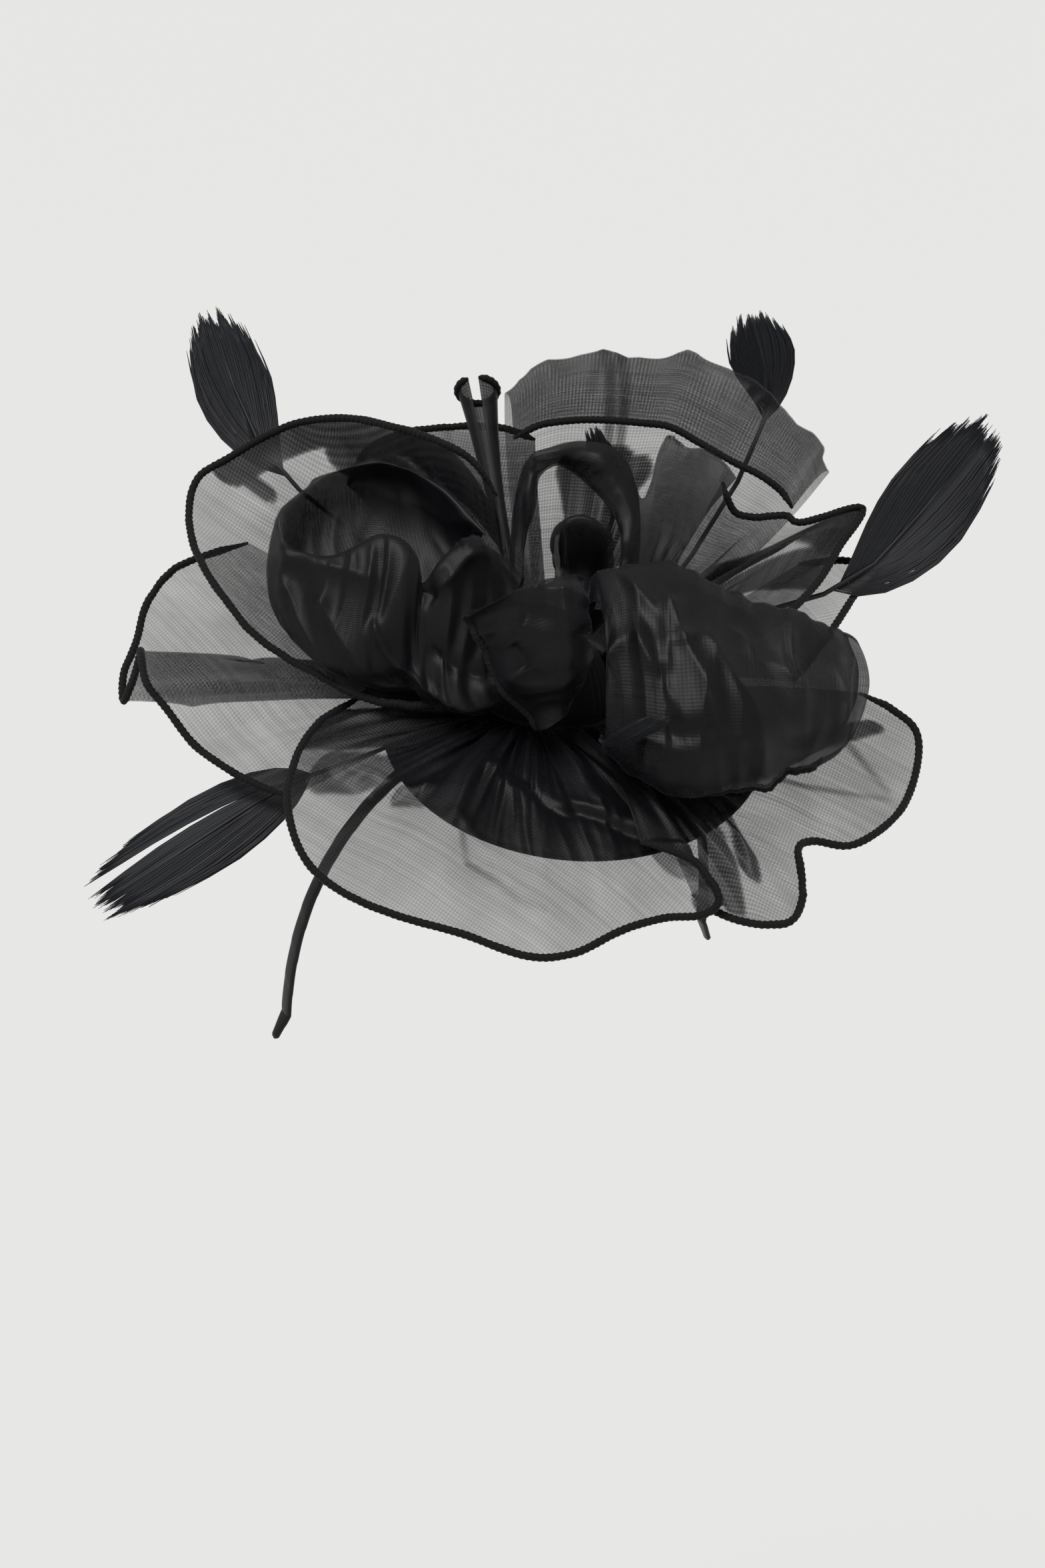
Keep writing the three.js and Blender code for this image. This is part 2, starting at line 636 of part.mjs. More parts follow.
// One lock of barbs, from the quill outward and on to the trimmed tip.
function lockGeometry(curve, flat, share, spec, index) {
  const rings = [];
  const start = spec.vaneFrom + LOCK_STAGGER * (1 - Math.abs(share));
  const end = 1 - spec.trim * ((index * TRIM_STEP) % TRIM_CYCLE) / TRIM_CYCLE;
  for (let i = 0; i <= LOCK_STATIONS; i += 1) {
    const step = i / LOCK_STATIONS;
    const place = THREE.MathUtils.lerp(start, end, step);
    const centre = curve.getPoint(place);
    const along = curve.getTangent(place);
    const across = flat.clone().addScaledVector(along, -flat.dot(along)).normalize();
    const out = along.clone().cross(across);
    const spread = share * spec.width * Math.sqrt(step);
    const tip = i === LOCK_STATIONS ? LOCK_TIP : 1;
    const wide = spec.width / spec.locks * (LOCK_OVERLAP + LOCK_WIDENING * step) * tip;
    centre.addScaledVector(across, spread);
    centre.addScaledVector(out, LOCK_CUP * share * share * spec.width * step);
    const half = BARB_THICKNESS / 2;
    rings.push([[wide, 0], [0, half], [-wide, 0], [0, -half]].map(([a, b]) =>
      centre.clone().addScaledVector(across, a).addScaledVector(out, b)));
  }
  return loftGeometry(rings);
}

// A solid for joining, from a closed geometry.
function solidOf(geometry) {
  const joined = merged(geometry.clone());
  const mesh = new wasm.Mesh({
    numProp: 3,
    vertProperties: new Float32Array(joined.attributes.position.array),
    triVerts: new Uint32Array(joined.index.array),
  });
  return new wasm.Manifold(mesh);
}

// A geometry from a joined solid.
function geometryOf(solid) {
  const mesh = solid.getMesh();
  const places = new Float32Array(mesh.vertProperties);
  const geometry = new THREE.BufferGeometry();
  geometry.setAttribute("position", new THREE.BufferAttribute(places, 3));
  geometry.setIndex([...mesh.triVerts]);
  geometry.computeVertexNormals();
  return geometry;
}

// A named mesh with its own material.
function piece(name, geometry, look) {
  const mesh = new THREE.Mesh(geometry, new THREE.MeshStandardMaterial(look));
  mesh.name = name;
  return mesh;
}

// The flower frame: its lift axis leans to the front and to one side.
function flowerGroup() {
  const lift = new THREE.Vector3(-Math.tan(radians(TILT_SIDE)), -Math.tan(radians(TILT_FORWARD)), 1);
  lift.normalize();
  const side = new THREE.Vector3(Math.cos(radians(TURN_ZERO)), Math.sin(radians(TURN_ZERO)), 0);
  side.addScaledVector(lift, -side.dot(lift)).normalize();
  const group = new THREE.Group();
  group.quaternion.setFromRotationMatrix(new THREE.Matrix4().makeBasis(side, lift.clone().cross(side), lift));
  group.position.copy(FLOWER_CENTRE);
  return group;
}

// A cloth piece from its sections and its gathers.
function clothPiece(name, sections, ripples, steps) {
  const surface = surfaceThrough(sections, ripples);
  return piece(name, clothGeometry(surface, sections.length, steps), organza);
}

// Sections from the rows of a table, each with its share of the way through the table.
function sectionsOf(rows, section) {
  return rows.map((row, index) => section(row, index / (rows.length - 1)));
}

const flower = flowerGroup();
flower.add(piece("base_disc", baseGeometry(), felt));
flower.add(piece("gather_core", coreGeometry(), felt));
for (const [name, { root, rows, ripples }] of Object.entries(PETALS)) {
  const section = (row, share) => petalSection(named(PETAL_COLUMNS, row), root, share);
  flower.add(clothPiece(name, sectionsOf(rows, section), ripples));
}
const hoodRow = (row, share) => hoodSection(named(HOOD_COLUMNS, row), HOOD, share);
flower.add(clothPiece("petal_back_hood", sectionsOf(HOOD.rows, hoodRow), undefined, HOOD_STEPS));
for (const [name, { root, rows }] of Object.entries(ROLLS)) {
  flower.add(clothPiece(name, sectionsOf(rows, (row, share) => rollSection(row, root, share))));
}
for (const [name, rows] of Object.entries(FOLDS)) {
  flower.add(clothPiece(name, sectionsOf(rows, foldSection)));
}
flower.add(piece("back_curl", curlGeometry(), organza));
for (const [name, spec] of Object.entries(FEATHERS)) {
  flower.add(piece(name, featherGeometry(spec), feather));
}

const fascinator = new THREE.Group();
fascinator.add(piece("headband", bandGeometry(), satin));
fascinator.add(flower);

export default fascinator;
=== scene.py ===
# Fascinator: a black organza flower with trimmed feathers on a slim satin band.
# Tables are in millimetres in the flower's own frame: side, back and lift, or turn, reach
# and lift round its centre. Meshes are in metres in the shared frame.

import math
import random

import bmesh
import bpy
from mathutils import Matrix, Vector, noise


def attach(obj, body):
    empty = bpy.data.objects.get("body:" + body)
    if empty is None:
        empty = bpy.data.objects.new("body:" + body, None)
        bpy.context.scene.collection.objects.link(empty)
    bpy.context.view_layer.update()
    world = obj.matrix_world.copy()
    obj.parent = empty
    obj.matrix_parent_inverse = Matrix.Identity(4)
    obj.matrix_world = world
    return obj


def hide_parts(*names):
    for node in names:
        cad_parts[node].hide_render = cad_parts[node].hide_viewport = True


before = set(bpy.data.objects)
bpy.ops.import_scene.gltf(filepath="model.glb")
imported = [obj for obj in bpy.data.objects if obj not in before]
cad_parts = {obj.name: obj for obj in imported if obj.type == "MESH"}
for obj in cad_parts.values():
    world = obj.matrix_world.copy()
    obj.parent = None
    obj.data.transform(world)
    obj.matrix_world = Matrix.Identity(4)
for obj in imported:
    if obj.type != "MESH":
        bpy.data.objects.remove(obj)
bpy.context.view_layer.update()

MM = 0.001
BODY = "root"

# ---- Sizes, in millimetres and degrees ----
# The flower's own frame, as in the part
FLOWER_CENTRE = Vector((11, -12, 1.8))
TILT_SIDE = 7.5
TILT_FORWARD = 20.7
TURN_ZERO = -28.5

# Domed base with a bound rim
BASE_RADIUS = 56
BASE_TOP = 2.4
BASE_THICKNESS = 2
BASE_DROP = 5
BASE_RIM = 1.2
BASE_RINGS = 14

# Stitched bundle on the base: taper, inset and pleats are shares of its width
CORE_SIDE = -8
CORE_BACK = 3
CORE_LONG = 19
CORE_SHORT = 11
CORE_TOP = 26
CORE_TAPER = 0.35
CORE_INSET = 0.03
CORE_PLEATS = 36
CORE_PLEAT_DEPTH = 0.03
CORE_OFF_BASE = 0.3
ROOT_CLEAR = 0.8

# Head band, and the laps of the ribbon wound round it
BAND_HALF_WIDTH = 72
BAND_HEIGHT = 84
BAND_ROUNDNESS = 2.2
BAND_LEAN = 9
BAND_STRIP_WIDTH = 5
BAND_THICKNESS = 1.6
BAND_TIP_LENGTH = 9
BAND_TIP_TURN = 24
BAND_TIP_NARROW = 0.62
BAND_STEP = 0.5
BAND_SIDES = 24
LAP_PITCH = 11
LAP_RIDGE = 0.12
LAP_SLANT = 4

# Cloth: the allowance is what its gathers take up.
BELLY_SHARE = 8 / 9
RIPPLE_PEAK = 6.75
CLOTH_WALL = 0.25
THREAD_SPACING = 0.9

# How far apart gathers and folds lie on the cloth, and how deep they are
GATHER_PITCH, GATHER_DEPTH = 4.5, 2.6
FOLD_PITCH, FOLD_DEPTH = 15, 1.8
NARROW_PITCH, NARROW_DEPTH = 7, 0.7
BROAD_PITCH, BROAD_DEPTH = 26, 0.9
DRIFT_PITCH, DRIFT = 30, 6
# Share of the folds lost on the way to the rim, and how much of them two plies keep
SINGLE_FADE = 0.75
DOUBLED_FADE = 0.15
DOUBLED_KEEPS = 0.8
INNER_PLY_SEED = 7
# A crease starts narrow, and runs out past its two ends.
CREASE_START = 0.45
CREASE_FADE = 0.15
TUCK_EDGE = 0.8
THIN_TUCK = 2

# Rolled hem and the overlock thread round it
HEM_RADIUS = 1.15
HEM_STITCH_PITCH = 1.7
HEM_LUMP_PITCH = 6
HEM_STRAND_PITCH = 0.56
HEM_STEP = 0.42
HEM_SIDES = 10

# Feathers: half widths and half thicknesses
QUILL_WIDE, QUILL_THICK = 0.75, 0.65
BARB_WIDE, BARB_THICK = 0.3, 0.07

# Studio, in metres and degrees
CAMERA_AZIMUTH, CAMERA_ELEVATION = -30, 20
CAMERA_DISTANCE = 1.025
CAMERA_LOWERED = 0.0188
CAMERA_MOVED_RIGHT = 0.0002
FLOOR_HALF_WIDTH = 30
FLOOR_HEIGHT = -0.9

# ---- Shapes of the pieces ----
# root: first and last turn on the bundle, then first and last lift.
# plies: how many layers of organza lie together at the gather, half way and at the rim.
# creases: long folds on the flat cloth, each from x0, y0 to x1, y1, with width and height.
# tucks: where the cloth lies double, from x0, y0 to x1, y1, with width and layers added.
# layers: single, hemmed (doubled at the gather) or soft rim (doubled by a fold at the rim).
# ply_gap: how far apart the two plies of a doubled sheet lie.
# gather: how deep its pleats are, 1 where none is given. steps: the grid across and along.
# thread_turn: how far the straight threads are turned from the flower's side axis.

# Petals: a row is one section, with the turn, reach and lift of its hem and its belly.
PETALS = {
    "petal_front": {
        "root": (204, 290, 3.6, 3.6), "ripples": (7, 1.1), "steps": (300, 72), "seed": 3,
        "thread_turn": 35, "plies": (3.0, 1.5, 1.1),
        "creases": (
            (103, 23, 134, 35, 5, 2.2), (129, 27, 229, 80, 5, -2.4), (152, 36, 232, 80, 5, 2.2),
            (106, 46, 136, 68, 3, 0.8), (88, 39, 64, 51, 5, 2), (80, 48, 54, 66, 5, -1.6),
            (170, 41, 219, 80, 6, 1.8),
        ),
        "tucks": (
            (31, 76, 49, 29, 10, 4), (54, 66, 72, 33, 7, 2), (80, 46, 103, 39, 4, 1.6),
            (221, 79, 190, 78, 4, 3), (106, 46, 113, 60, 0.8, 1.2), (113, 60, 136, 68, 0.8, 1.2),
            (190, 60, 222, 70, 9, 1.2),
        ),
        "rows": [
            (180, 60, 9.6, 2), (185, 67, 7.5, 3), (190, 76, 6, 4), (198, 85, 4, 4),
            (207, 93, 1, 4), (217, 98, -3, 4), (226, 98, -5, 5), (236, 95, -6, 6),
            (248, 91, -7, 6), (260, 93, -8, 6), (268, 90, -8, 7), (277, 83, -6, 7),
            (286, 80, -6, 7), (295, 81, -7, 6), (299, 79, -4, 8), (297, 70, 3, 9),
            (285, 61, 6, 8),
        ],
    },
    "petal_right_front": {
        "root": (297, 352, 3.6, 3.6), "ripples": (5, 0.8), "steps": (260, 64), "seed": 7,
        "thread_turn": 20, "plies": (3.0, 1.8, 1.3),
        "creases": (
            (100, 43, 129, 73, 6, 1.8), (68, 52, 94, 79, 6, -1.8), (53, 51, 39, 75, 4, 2.2),
        ),
        "tucks": (
            (57, 52, 40, 72, 4, 3), (36, 57, 21, 82, 6, 2.5), (97, 57, 108, 85, 0.8, 1.6),
            (121, 64, 110, 84, 0.8, 1.6), (113, 54, 128, 76, 3, 3),
        ),
        "rows": [
            (297, 70, -10, 9), (299, 77, -11, 9), (302, 84, -11, 8), (305, 90, -10, 8),
            (309, 93, -10, 8), (313, 91, -9, 7), (317, 86, -7, 6), (322, 79, -4, 4),
            (327, 80, -5, 5), (331, 90, -6, 6), (340, 97, -5, 5), (348, 100, -3, 5),
            (356, 101, 1, 4), (360, 97, 5, 4), (365, 84, 8, 4),
        ],
    },
    "petal_right_back": {
        "root": (4, 44, 3.6, 3.6), "ripples": (3, 1), "steps": (160, 64), "seed": 11,
        "thread_turn": 60, "plies": (2.6, 1.5, 1.0),
        "rows": [
            (12, 66, 6, 4), (18, 75, 9, 4), (24, 86, 11, 5), (29, 97, 12, 5), (34, 112, 12, 4),
            (38, 106, 12, 1), (42, 94, 12, -1),
        ],
    },
    "petal_back_left": {
        "root": (84, 130, 3.6, 3.6), "ripples": (3, 1), "steps": (160, 68), "seed": 13,
        "thread_turn": 10, "plies": (3.4, 3.0, 2.4),
        "rows": [
            (97, 95, 32, -5), (102, 102, 32, -5), (107, 106, 31, -4), (112, 109, 30, -2),
            (117, 113, 28, 0), (123, 114, 25, 4), (130, 106, 21, 4),
        ],
    },
    "petal_left": {
        "root": (140, 194, 3.6, 3.6), "ripples": (5, 0.8), "steps": (260, 80), "seed": 17,
        "thread_turn": 50, "plies": (2.6, 1.4, 1.0),
        "creases": (
            (113, 63, 43, 98, 5, 1.4), (132, 70, 136, 102, 7, 1.2),
        ),
        "rows": [
            (149, 114, 15, 1), (154, 125, 12, 1), (158, 131, 9, 2), (163, 133, 5, 2),
            (169, 132, 2, 1), (174, 133, 0, -1), (178, 132, -3, -2), (177, 130, 1, 2),
            (172, 129, 4, 3), (174, 128, 8, 5), (179, 125, 6, 5), (182, 119, 2, 4),
            (187, 112, -2, 4), (192, 105, -3, 4), (197, 97, -4, 2.6), (202, 88, -5, 1.4),
        ],
    },
    "petal_upper_left": {
        "root": (196, 118, 12, 12), "ripples": (5, 0.8), "steps": (280, 80), "seed": 19,
        "thread_turn": 25, "plies": (3.0, 1.6, 1.0),
        "creases": (
            (181, 68, 168, 102, 6, 2.2), (166, 54, 145, 97, 6, -2), (205, 75, 187, 99, 6, 1.8),
            (121, 45, 108, 97, 7, 1.4), (95, 32, 74, 108, 7, -1.4),
        ),
        "tucks": (
            (129, 104, 158, 104, 5, 3.5), (158, 104, 181, 104, 5, 3.5), (181, 104, 208, 99, 6, 3.5),
            (197, 100, 231, 86, 9, 4), (171, 95, 208, 75, 8, 3.5), (131, 106, 134, 93, 3, 3),
            (168, 102, 176, 90, 4, 3),
        ),
        "rows": [
            (196, 36, 13, 0), (195, 52, 15, -1), (189, 67, 16, -2), (181, 82, 19, -3),
            (176, 94, 22, -4), (170, 105, 25, -4), (163, 117, 29, -4), (156, 126, 32, -5),
            (151, 129, 36, -6), (147, 124, 40, -7), (142, 118, 45, -8), (138, 110, 50, -9),
            (135, 95, 56, -9), (132, 76, 60, -9), (128, 63, 60, -8), (124, 56, 56, -7),
            (121, 49, 49, -5),
        ],
    },
    "petal_right_fan": {
        "root": (354, 406, 15, 15), "steps": (220, 72), "seed": 23,
        "plies": (3.4, 1.8, 1.2),
        "creases": (
            (51, 29, 42, 74, 5, 2.4), (71, 34, 51, 62, 4, -1.8), (21, 43, 30, 80, 5, -1.8),
        ),
        "tucks": (
            (71, 34, 41, 80, 8, 4), (42, 29, 28, 82, 7, 3),
        ),
        "rows": [
            (20, 58, 18, 3), (24, 68, 20, 4), (30, 84, 22, 5), (35, 98, 25, 5), (39, 113, 28, 3),
            (42, 92, 29, 0), (45, 90, 30, 3), (48, 83, 30, 0), (51.5, 79, 31, -1),
            (55, 81, 32, -4), (58.5, 86, 34, -6),
        ],
    },
}

# The hood: turn, reach and lift of its hem, reach and lift of its crest, sag of its wall.
HOOD = {
    "root": (100, 62, 14.5, 14.5), "wall_share": 0.7, "steps": (280, 100), "seed": 29,
    "plies": (2.4, 1.0, 1.9),
    "creases": (
        (32, 58, 22, 133, 4, 1.4), (34, 58, 30, 129, 4, -1.2), (50, 58, 44, 126, 4, 1.6),
        (59, 63, 61, 122, 6, 1.2), (76, 66, 76, 122, 6, -1.2), (7, 56, 9, 131, 6, 1.2),
    ),
    "tucks": (
        (23, 56, 30, 35, 6, 4), (32, 56, 40, 35, 8, 4), (26, 58, 40, 56, 5, 3.5),
        (31, 58, 23, 133, 1.2, 1.6), (34, 56, 28, 129, 1.2, 1.6),
    ),
    "rows": [
        (104, 80, 44, 88, 50, 13), (98, 83, 46, 94, 54, 17), (91, 84, 47, 97, 57, 19),
        (84, 84, 48, 97, 58, 20), (77, 85, 48, 99, 58, 20), (71, 86, 48, 103, 58, 20),
        (64, 86, 45, 104, 56, 19), (57, 87, 42, 105, 52, 18), (52, 89, 40, 105, 48, 16),
        (48, 92, 36, 108, 43, 14), (46, 92, 34, 107, 40, 13), (44.5, 92, 32, 105, 37, 11),
    ],
}

# Rolled petals: waist, bulge and rim of each section, as side, back and lift.
ROLLS = {
    "left_swirl": {
        "root": (258, 142, 19, 24), "steps": (300, 120), "seed": 31,
        "plies": (3.4, 2.6, 1.8), "layers": "soft rim", "ply_gap": 1.6,
        "creases": (
            (35, 80, 16, 94, 5, 2.88), (47, 88, 35, 77, 4, -2.4), (90, 88, 68, 79, 4, 1.68),
            (68, 64, 55, 47, 6, 2.64), (55, 47, 18, 20, 6, 2.64), (35, 55, 10, 36, 5, -2.16),
            (92, 72, 70, 41, 7, 1.92), (108, 74, 88, 39, 6, 1.68),
        ),
        "rows": [
            ((-20, -9, 24), (-20, 3, 33), (-18, 10, 44)),
            ((-26, -12, 22), (-26, 1, 33), (-27, 15, 50)),
            ((-33, -13, 20), (-36, -2, 35), (-35, 13, 54)),
            ((-39, -13, 19), (-42, -4, 35), (-42, 8, 51)),
            ((-44, -12, 19), (-48, -3, 33), (-47, 6, 44)),
            ((-48, -11, 19), (-53, -5, 35), (-51, 13, 52)),
            ((-54, -11, 20), (-59, -4, 35), (-59, 15, 54)),
            ((-60, -10, 21), (-66, -3, 35), (-66, 13, 51)),
            ((-66, -7, 21), (-73, 0, 34), (-72, 12, 48)),
            ((-71, -4, 22), (-80, 4, 33), (-78, 13, 47)),
            ((-76, 2, 23), (-86, 9, 33), (-86, 18, 47)),
            ((-76, 10, 24), (-89, 21, 34), (-88, 28, 50)),
            ((-70, 20, 25), (-82, 37, 35), (-80, 37, 53)),
            ((-59, 23, 27), (-71, 45, 38), (-69, 43, 56)),
            ((-49, 24, 28), (-57, 45, 40), (-56, 44, 57)),
            ((-37, 22, 29), (-43, 38, 40), (-42, 36, 55)),
            ((-29, 19, 28), (-31, 28, 38), (-29, 22, 50)),
        ],
    },
    "centre_swirl": {
        "root": (106, 66, 19, 20), "steps": (140, 120), "seed": 37,
        "gather": 0.5, "plies": (3.4, 2.8, 2.0), "layers": "soft rim", "ply_gap": 1.2,
        "creases": (
            (14, 23, 9, 42, 4, 1.2), (20, 20, 20, 42, 3, 1.4),
        ),
        "rows": [
            ((-6, 38, 27), (-6, 41, 33), (-5, 41, 37)),
            ((-5, 35, 26), (-7, 38, 34), (-6, 39, 42)),
            ((-2, 34, 25), (-4, 36, 34), (-4, 37, 46)),
            ((1, 32, 25), (0, 36, 34), (0, 37, 47)),
            ((4, 33, 25), (4, 35, 34), (4, 36, 46)),
            ((7, 34, 26), (7, 37, 34), (7, 36, 43)),
            ((9, 37, 27), (9, 41, 34), (8, 40, 42)),
        ],
    },
    "centre_sheet": {
        "root": (57, 22, 19.5, 19.5), "steps": (200, 110), "seed": 39,
        "gather": 0.6, "plies": (3.0, 1.6, 1.2), "layers": "soft rim", "ply_gap": 0.8,
        "creases": (
            (50, 24, 28, 78, 3, 2), (32, 24, 20, 72, 3, -1.4), (55, 26, 36, 74, 7, 1),
        ),
        "rows": [
            ((15, 43, 25), (16, 56, 34), (15, 62, 46)),
            ((17, 43, 24), (18, 51, 32), (19, 57, 39)),
            ((20, 44, 24), (22, 53, 34), (23, 64, 43)),
            ((22, 46, 24), (25, 57, 36), (26, 71, 52)),
            ((24, 46, 24), (29, 58, 36), (32, 67, 51)),
            ((25, 46, 23), (32, 58, 35), (38, 68, 50)),
            ((27, 45, 22), (34, 56, 33), (43, 65, 48)),
            ((28, 43, 22), (35, 53, 30), (47, 61, 45)),
        ],
    },
}

# Folds: four points of each section, rear, top, front and foot, as side, back and lift.
FOLDS = {
    "centre_arch": {
        "steps": (240, 64), "seed": 41,
        "gather": 0.25, "plies": (2.6, 2.2, 1.8), "layers": "soft rim", "ply_gap": 0.9,
        "rows": [
            ((-12.5, 15.3, 17), (-14, 15.1, 17), (-15.5, 14.8, 17), (-17, 14.5, 17)),
            ((-17, 27, 27), (-18, 27, 28), (-19, 28, 28), (-20, 28, 27)),
            ((-16, 37, 38), (-17, 39, 40), (-18, 41, 41), (-20, 43, 40)),
            ((-14, 43, 45), (-16, 44, 49), (-17, 47, 50), (-19, 48, 49)),
            ((-13, 49, 51), (-14, 50, 54), (-15, 51, 56), (-16, 52, 55)),
            ((-8, 53, 53), (-8, 52, 57), (-8, 52, 59), (-7, 56, 58)),
            ((-3, 53, 51), (-2, 52, 56), (-1, 54, 58), (0, 59, 57)),
            ((2, 49, 49), (4, 50, 54), (6, 53, 57), (7, 59, 56)),
            ((7, 44, 46), (9, 47, 50), (11, 51, 53), (13, 57, 52)),
            ((11, 39, 42), (13, 41, 45), (15, 45, 47), (16, 51, 46)),
            ((12, 33, 38), (14, 34, 40), (16, 38, 41), (17, 43, 40)),
            ((11, 29, 33), (13, 30, 34), (15, 32, 34), (17, 35, 33)),
            ((7, 26, 29), (9, 25, 29), (12, 25, 28), (14, 26, 27)),
        ],
    },
    "front_fold": {
        "steps": (180, 150), "seed": 43,
        "plies": (3.0, 2.6, 2.2), "layers": "hemmed", "ply_gap": 1.6,
        "creases": (
            (0, 43, 1, 20, 5, 2.16), (3, 22, 24, 38, 5, 2.52), (4, 16, 25, 18, 6, 2.52),
            (15, 32, 21, 31, 4, -2.16),
        ),
        "rows": [
            ((-4, -1, 50), (-9, -10, 60), (-22, -11, 54), (-35, -9, 45)),
            ((-3, -9, 44), (-7, -18, 55), (-19, -17, 49), (-30, -12, 40)),
            ((-2, -14, 36), (-5, -23, 46), (-16, -23, 40), (-25, -16, 32)),
            ((-3, -13, 29), (-5, -25, 35), (-13, -25, 31), (-20, -21, 25)),
            ((-6, -5.2, 23), (-5, -20, 25), (-8, -26, 22), (-12, -24, 18)),
        ],
    },
    "front_swoop": {
        "steps": (280, 160), "seed": 47,
        "plies": (3.0, 2.6, 2.2), "layers": "hemmed", "ply_gap": 1.8,
        "creases": (
            (25, 35, 28, 47, 5, 3), (28, 47, 39, 74, 7, 3), (4, 50, 18, 45, 5, 2.6),
            (17, 47, 28, 67, 7, 2.6), (22, 54, 24, 71, 6, -3), (34, 45, 53, 74, 9, 2.52),
            (41, 39, 62, 57, 8, 2.24), (0, 8, 22, 40, 4, 2.8),
        ),
        "rows": [
            ((3, 5, 28), (5, -12, 47), (7, -33, 32), (6, -25, 17)),
            ((10, 9, 34), (9, -7, 51), (11, -38, 34), (13, -31, 13)),
            ((20, 11, 38), (19, -8, 53), (21, -43, 36), (23, -38, 11)),
            ((32, 9, 39), (31, -9, 51), (34, -42, 35), (36, -41, 10)),
            ((46, 5, 39), (45, -12, 46), (47, -38, 33), (48, -38, 10)),
            ((60, 2, 39), (58, -14, 43), (59, -32, 30), (58, -34, 12)),
            ((69, -1, 39), (72, -15, 37), (71, -28, 25), (64, -32, 14)),
            ((74, -4, 39), (80, -13, 33), (77, -24, 24), (68, -30, 16)),
        ],
    },
}

# The curl: a sleeve open on one side, from a narrow throat at its root to its rim.
CURL = {
    "turn": 108, "reach": 98, "lift": 50, "radius": 6, "throat": 1.2, "oval": 0.8,
    "root_turn": 109, "root_lift": 11, "sag": 3, "from": 120, "sweep": 330,
    "steps": (72, 60), "seed": 53, "gather": 0.2, "plies": (1.4, 2.4, 4.0),
}

# Feathers: the quill's root or start and its further points, the share of it where the vane
# begins, the vane's half width, how ragged its tip is, which way it lies flat and its number
# of barbs. A slit has its place across the vane and how far it opens.
FEATHERS = {
    "feather_upper_left": {
        "root": (150, 7.8), "quill": ((-60, 54, 17), (-94, 85, 30), (-113, 119, 58)),
        "vane": 0.6, "width": 12, "trim": 0.1, "flat": (0.8, 0.2, 0), "barbs": 190, "seed": 1,
    },
    "feather_lower_left": {
        "start": (-45, -10, 0.6), "quill": ((-68, -18, -5), (-90, -27, -11), (-137, -60, -27)),
        "vane": 0.48, "width": 12, "trim": 0.09, "flat": (-0.3, 0.9, 0.2), "slit": (0.5, 4),
        "barbs": 240, "seed": 2,
    },
    "feather_upper_right": {
        "root": (62, 6.6), "quill": ((30, 56, 6), (60, 106, 33), (54, 122, 64)),
        "vane": 0.68, "width": 10, "trim": 0.12, "flat": (1, 0, 0), "barbs": 180, "seed": 3,
    },
    "feather_right": {
        "root": (24, 9), "quill": ((50, 29, 17), (89, 52, 19.5), (126, 82, 55)),
        "vane": 0.58, "width": 15, "trim": 0.1, "flat": (-0.6, 0.3, 0.75), "barbs": 260, "seed": 4,
    },
    "feather_centre": {
        "root": (76, 6.4), "quill": ((6, 46, 5), (14, 84, 16), (6, 105, 31)),
        "vane": 0.7, "width": 4, "trim": 0.2, "flat": (1, 0, 0), "barbs": 70, "seed": 5,
    },
    "feather_front": {
        "start": (4.3, -31, 19), "quill": ((6.6, -43, 28), (12, -50, 38), (20, -53, 48)),
        "vane": 0.2, "width": 6, "trim": 0.15, "flat": (1, 0.2, 0), "barbs": 120, "seed": 6,
    },
}


# ---- Geometry helpers ----
def flower_matrix():
    """Flower frame in millimetres to the shared frame in metres."""
    lift = Vector((-math.tan(math.radians(TILT_SIDE)), -math.tan(math.radians(TILT_FORWARD)), 1))
    lift.normalize()
    angle = math.radians(TURN_ZERO)
    side = Vector((math.cos(angle), math.sin(angle), 0))
    side = (side - lift * side.dot(lift)).normalized()
    turned = Matrix((side, lift.cross(side), lift)).transposed().to_4x4()
    return Matrix.Scale(MM, 4) @ Matrix.Translation(FLOWER_CENTRE) @ turned


FLOWER = flower_matrix()


def polar(turn, reach, lift):
    """A place told by its turn round the flower's centre, its reach and its lift."""
    angle = math.radians(turn)
    return Vector((reach * math.cos(angle), reach * math.sin(angle), lift))


def mix(a, b, share):
    """The value at a share of the way from a to b."""
    return a + (b - a) * share


def smooth(low, high, value):
    """Eases from 0 at low to 1 at high, which may be the smaller of the two."""
    share = max(0.0, min(1.0, (value - low) / (high - low)))
    return share * share * (3 - 2 * share)


def root_point(turn, lift):
    """A place just outside the stitched bundle, where a gather or a quill starts."""
    angle = math.radians(turn)
    scale = 1 - CORE_TAPER * (lift / CORE_TOP) ** 2
    side = CORE_SIDE + (CORE_LONG * scale + ROOT_CLEAR) * math.cos(angle)
    back = CORE_BACK + (CORE_SHORT * scale + ROOT_CLEAR) * math.sin(angle)
    return Vector((side, back, lift))


def curve_between(p, t):
    """The Catmull-Rom curve at t between the middle two of four points."""
    square = 2 * p[0] - 5 * p[1] + 4 * p[2] - p[3]
    cube = 3 * p[1] - p[0] - 3 * p[2] + p[3]
    return 0.5 * (2 * p[1] + (p[2] - p[0]) * t + square * t ** 2 + cube * t ** 3)


def along_rows(points, share):
    """A place on the smooth curve through points, at a share from 0 to 1."""
    place = share * (len(points) - 1)
    index = min(int(place), len(points) - 2)
    near = [points[max(0, min(len(points) - 1, index + k))] for k in (-1, 0, 1, 2)]
    return curve_between(near, place - index)


def through_four(points, t):
    """The cubic through four points at 0, 1/3, 2/3 and 1."""
    a, b, c = t - 1 / 3, t - 2 / 3, t - 1
    return (
        points[0] * (-4.5 * a * b * c) + points[1] * (13.5 * t * b * c)
        + points[2] * (-13.5 * t * a * c) + points[3] * (4.5 * t * a * b)
    )


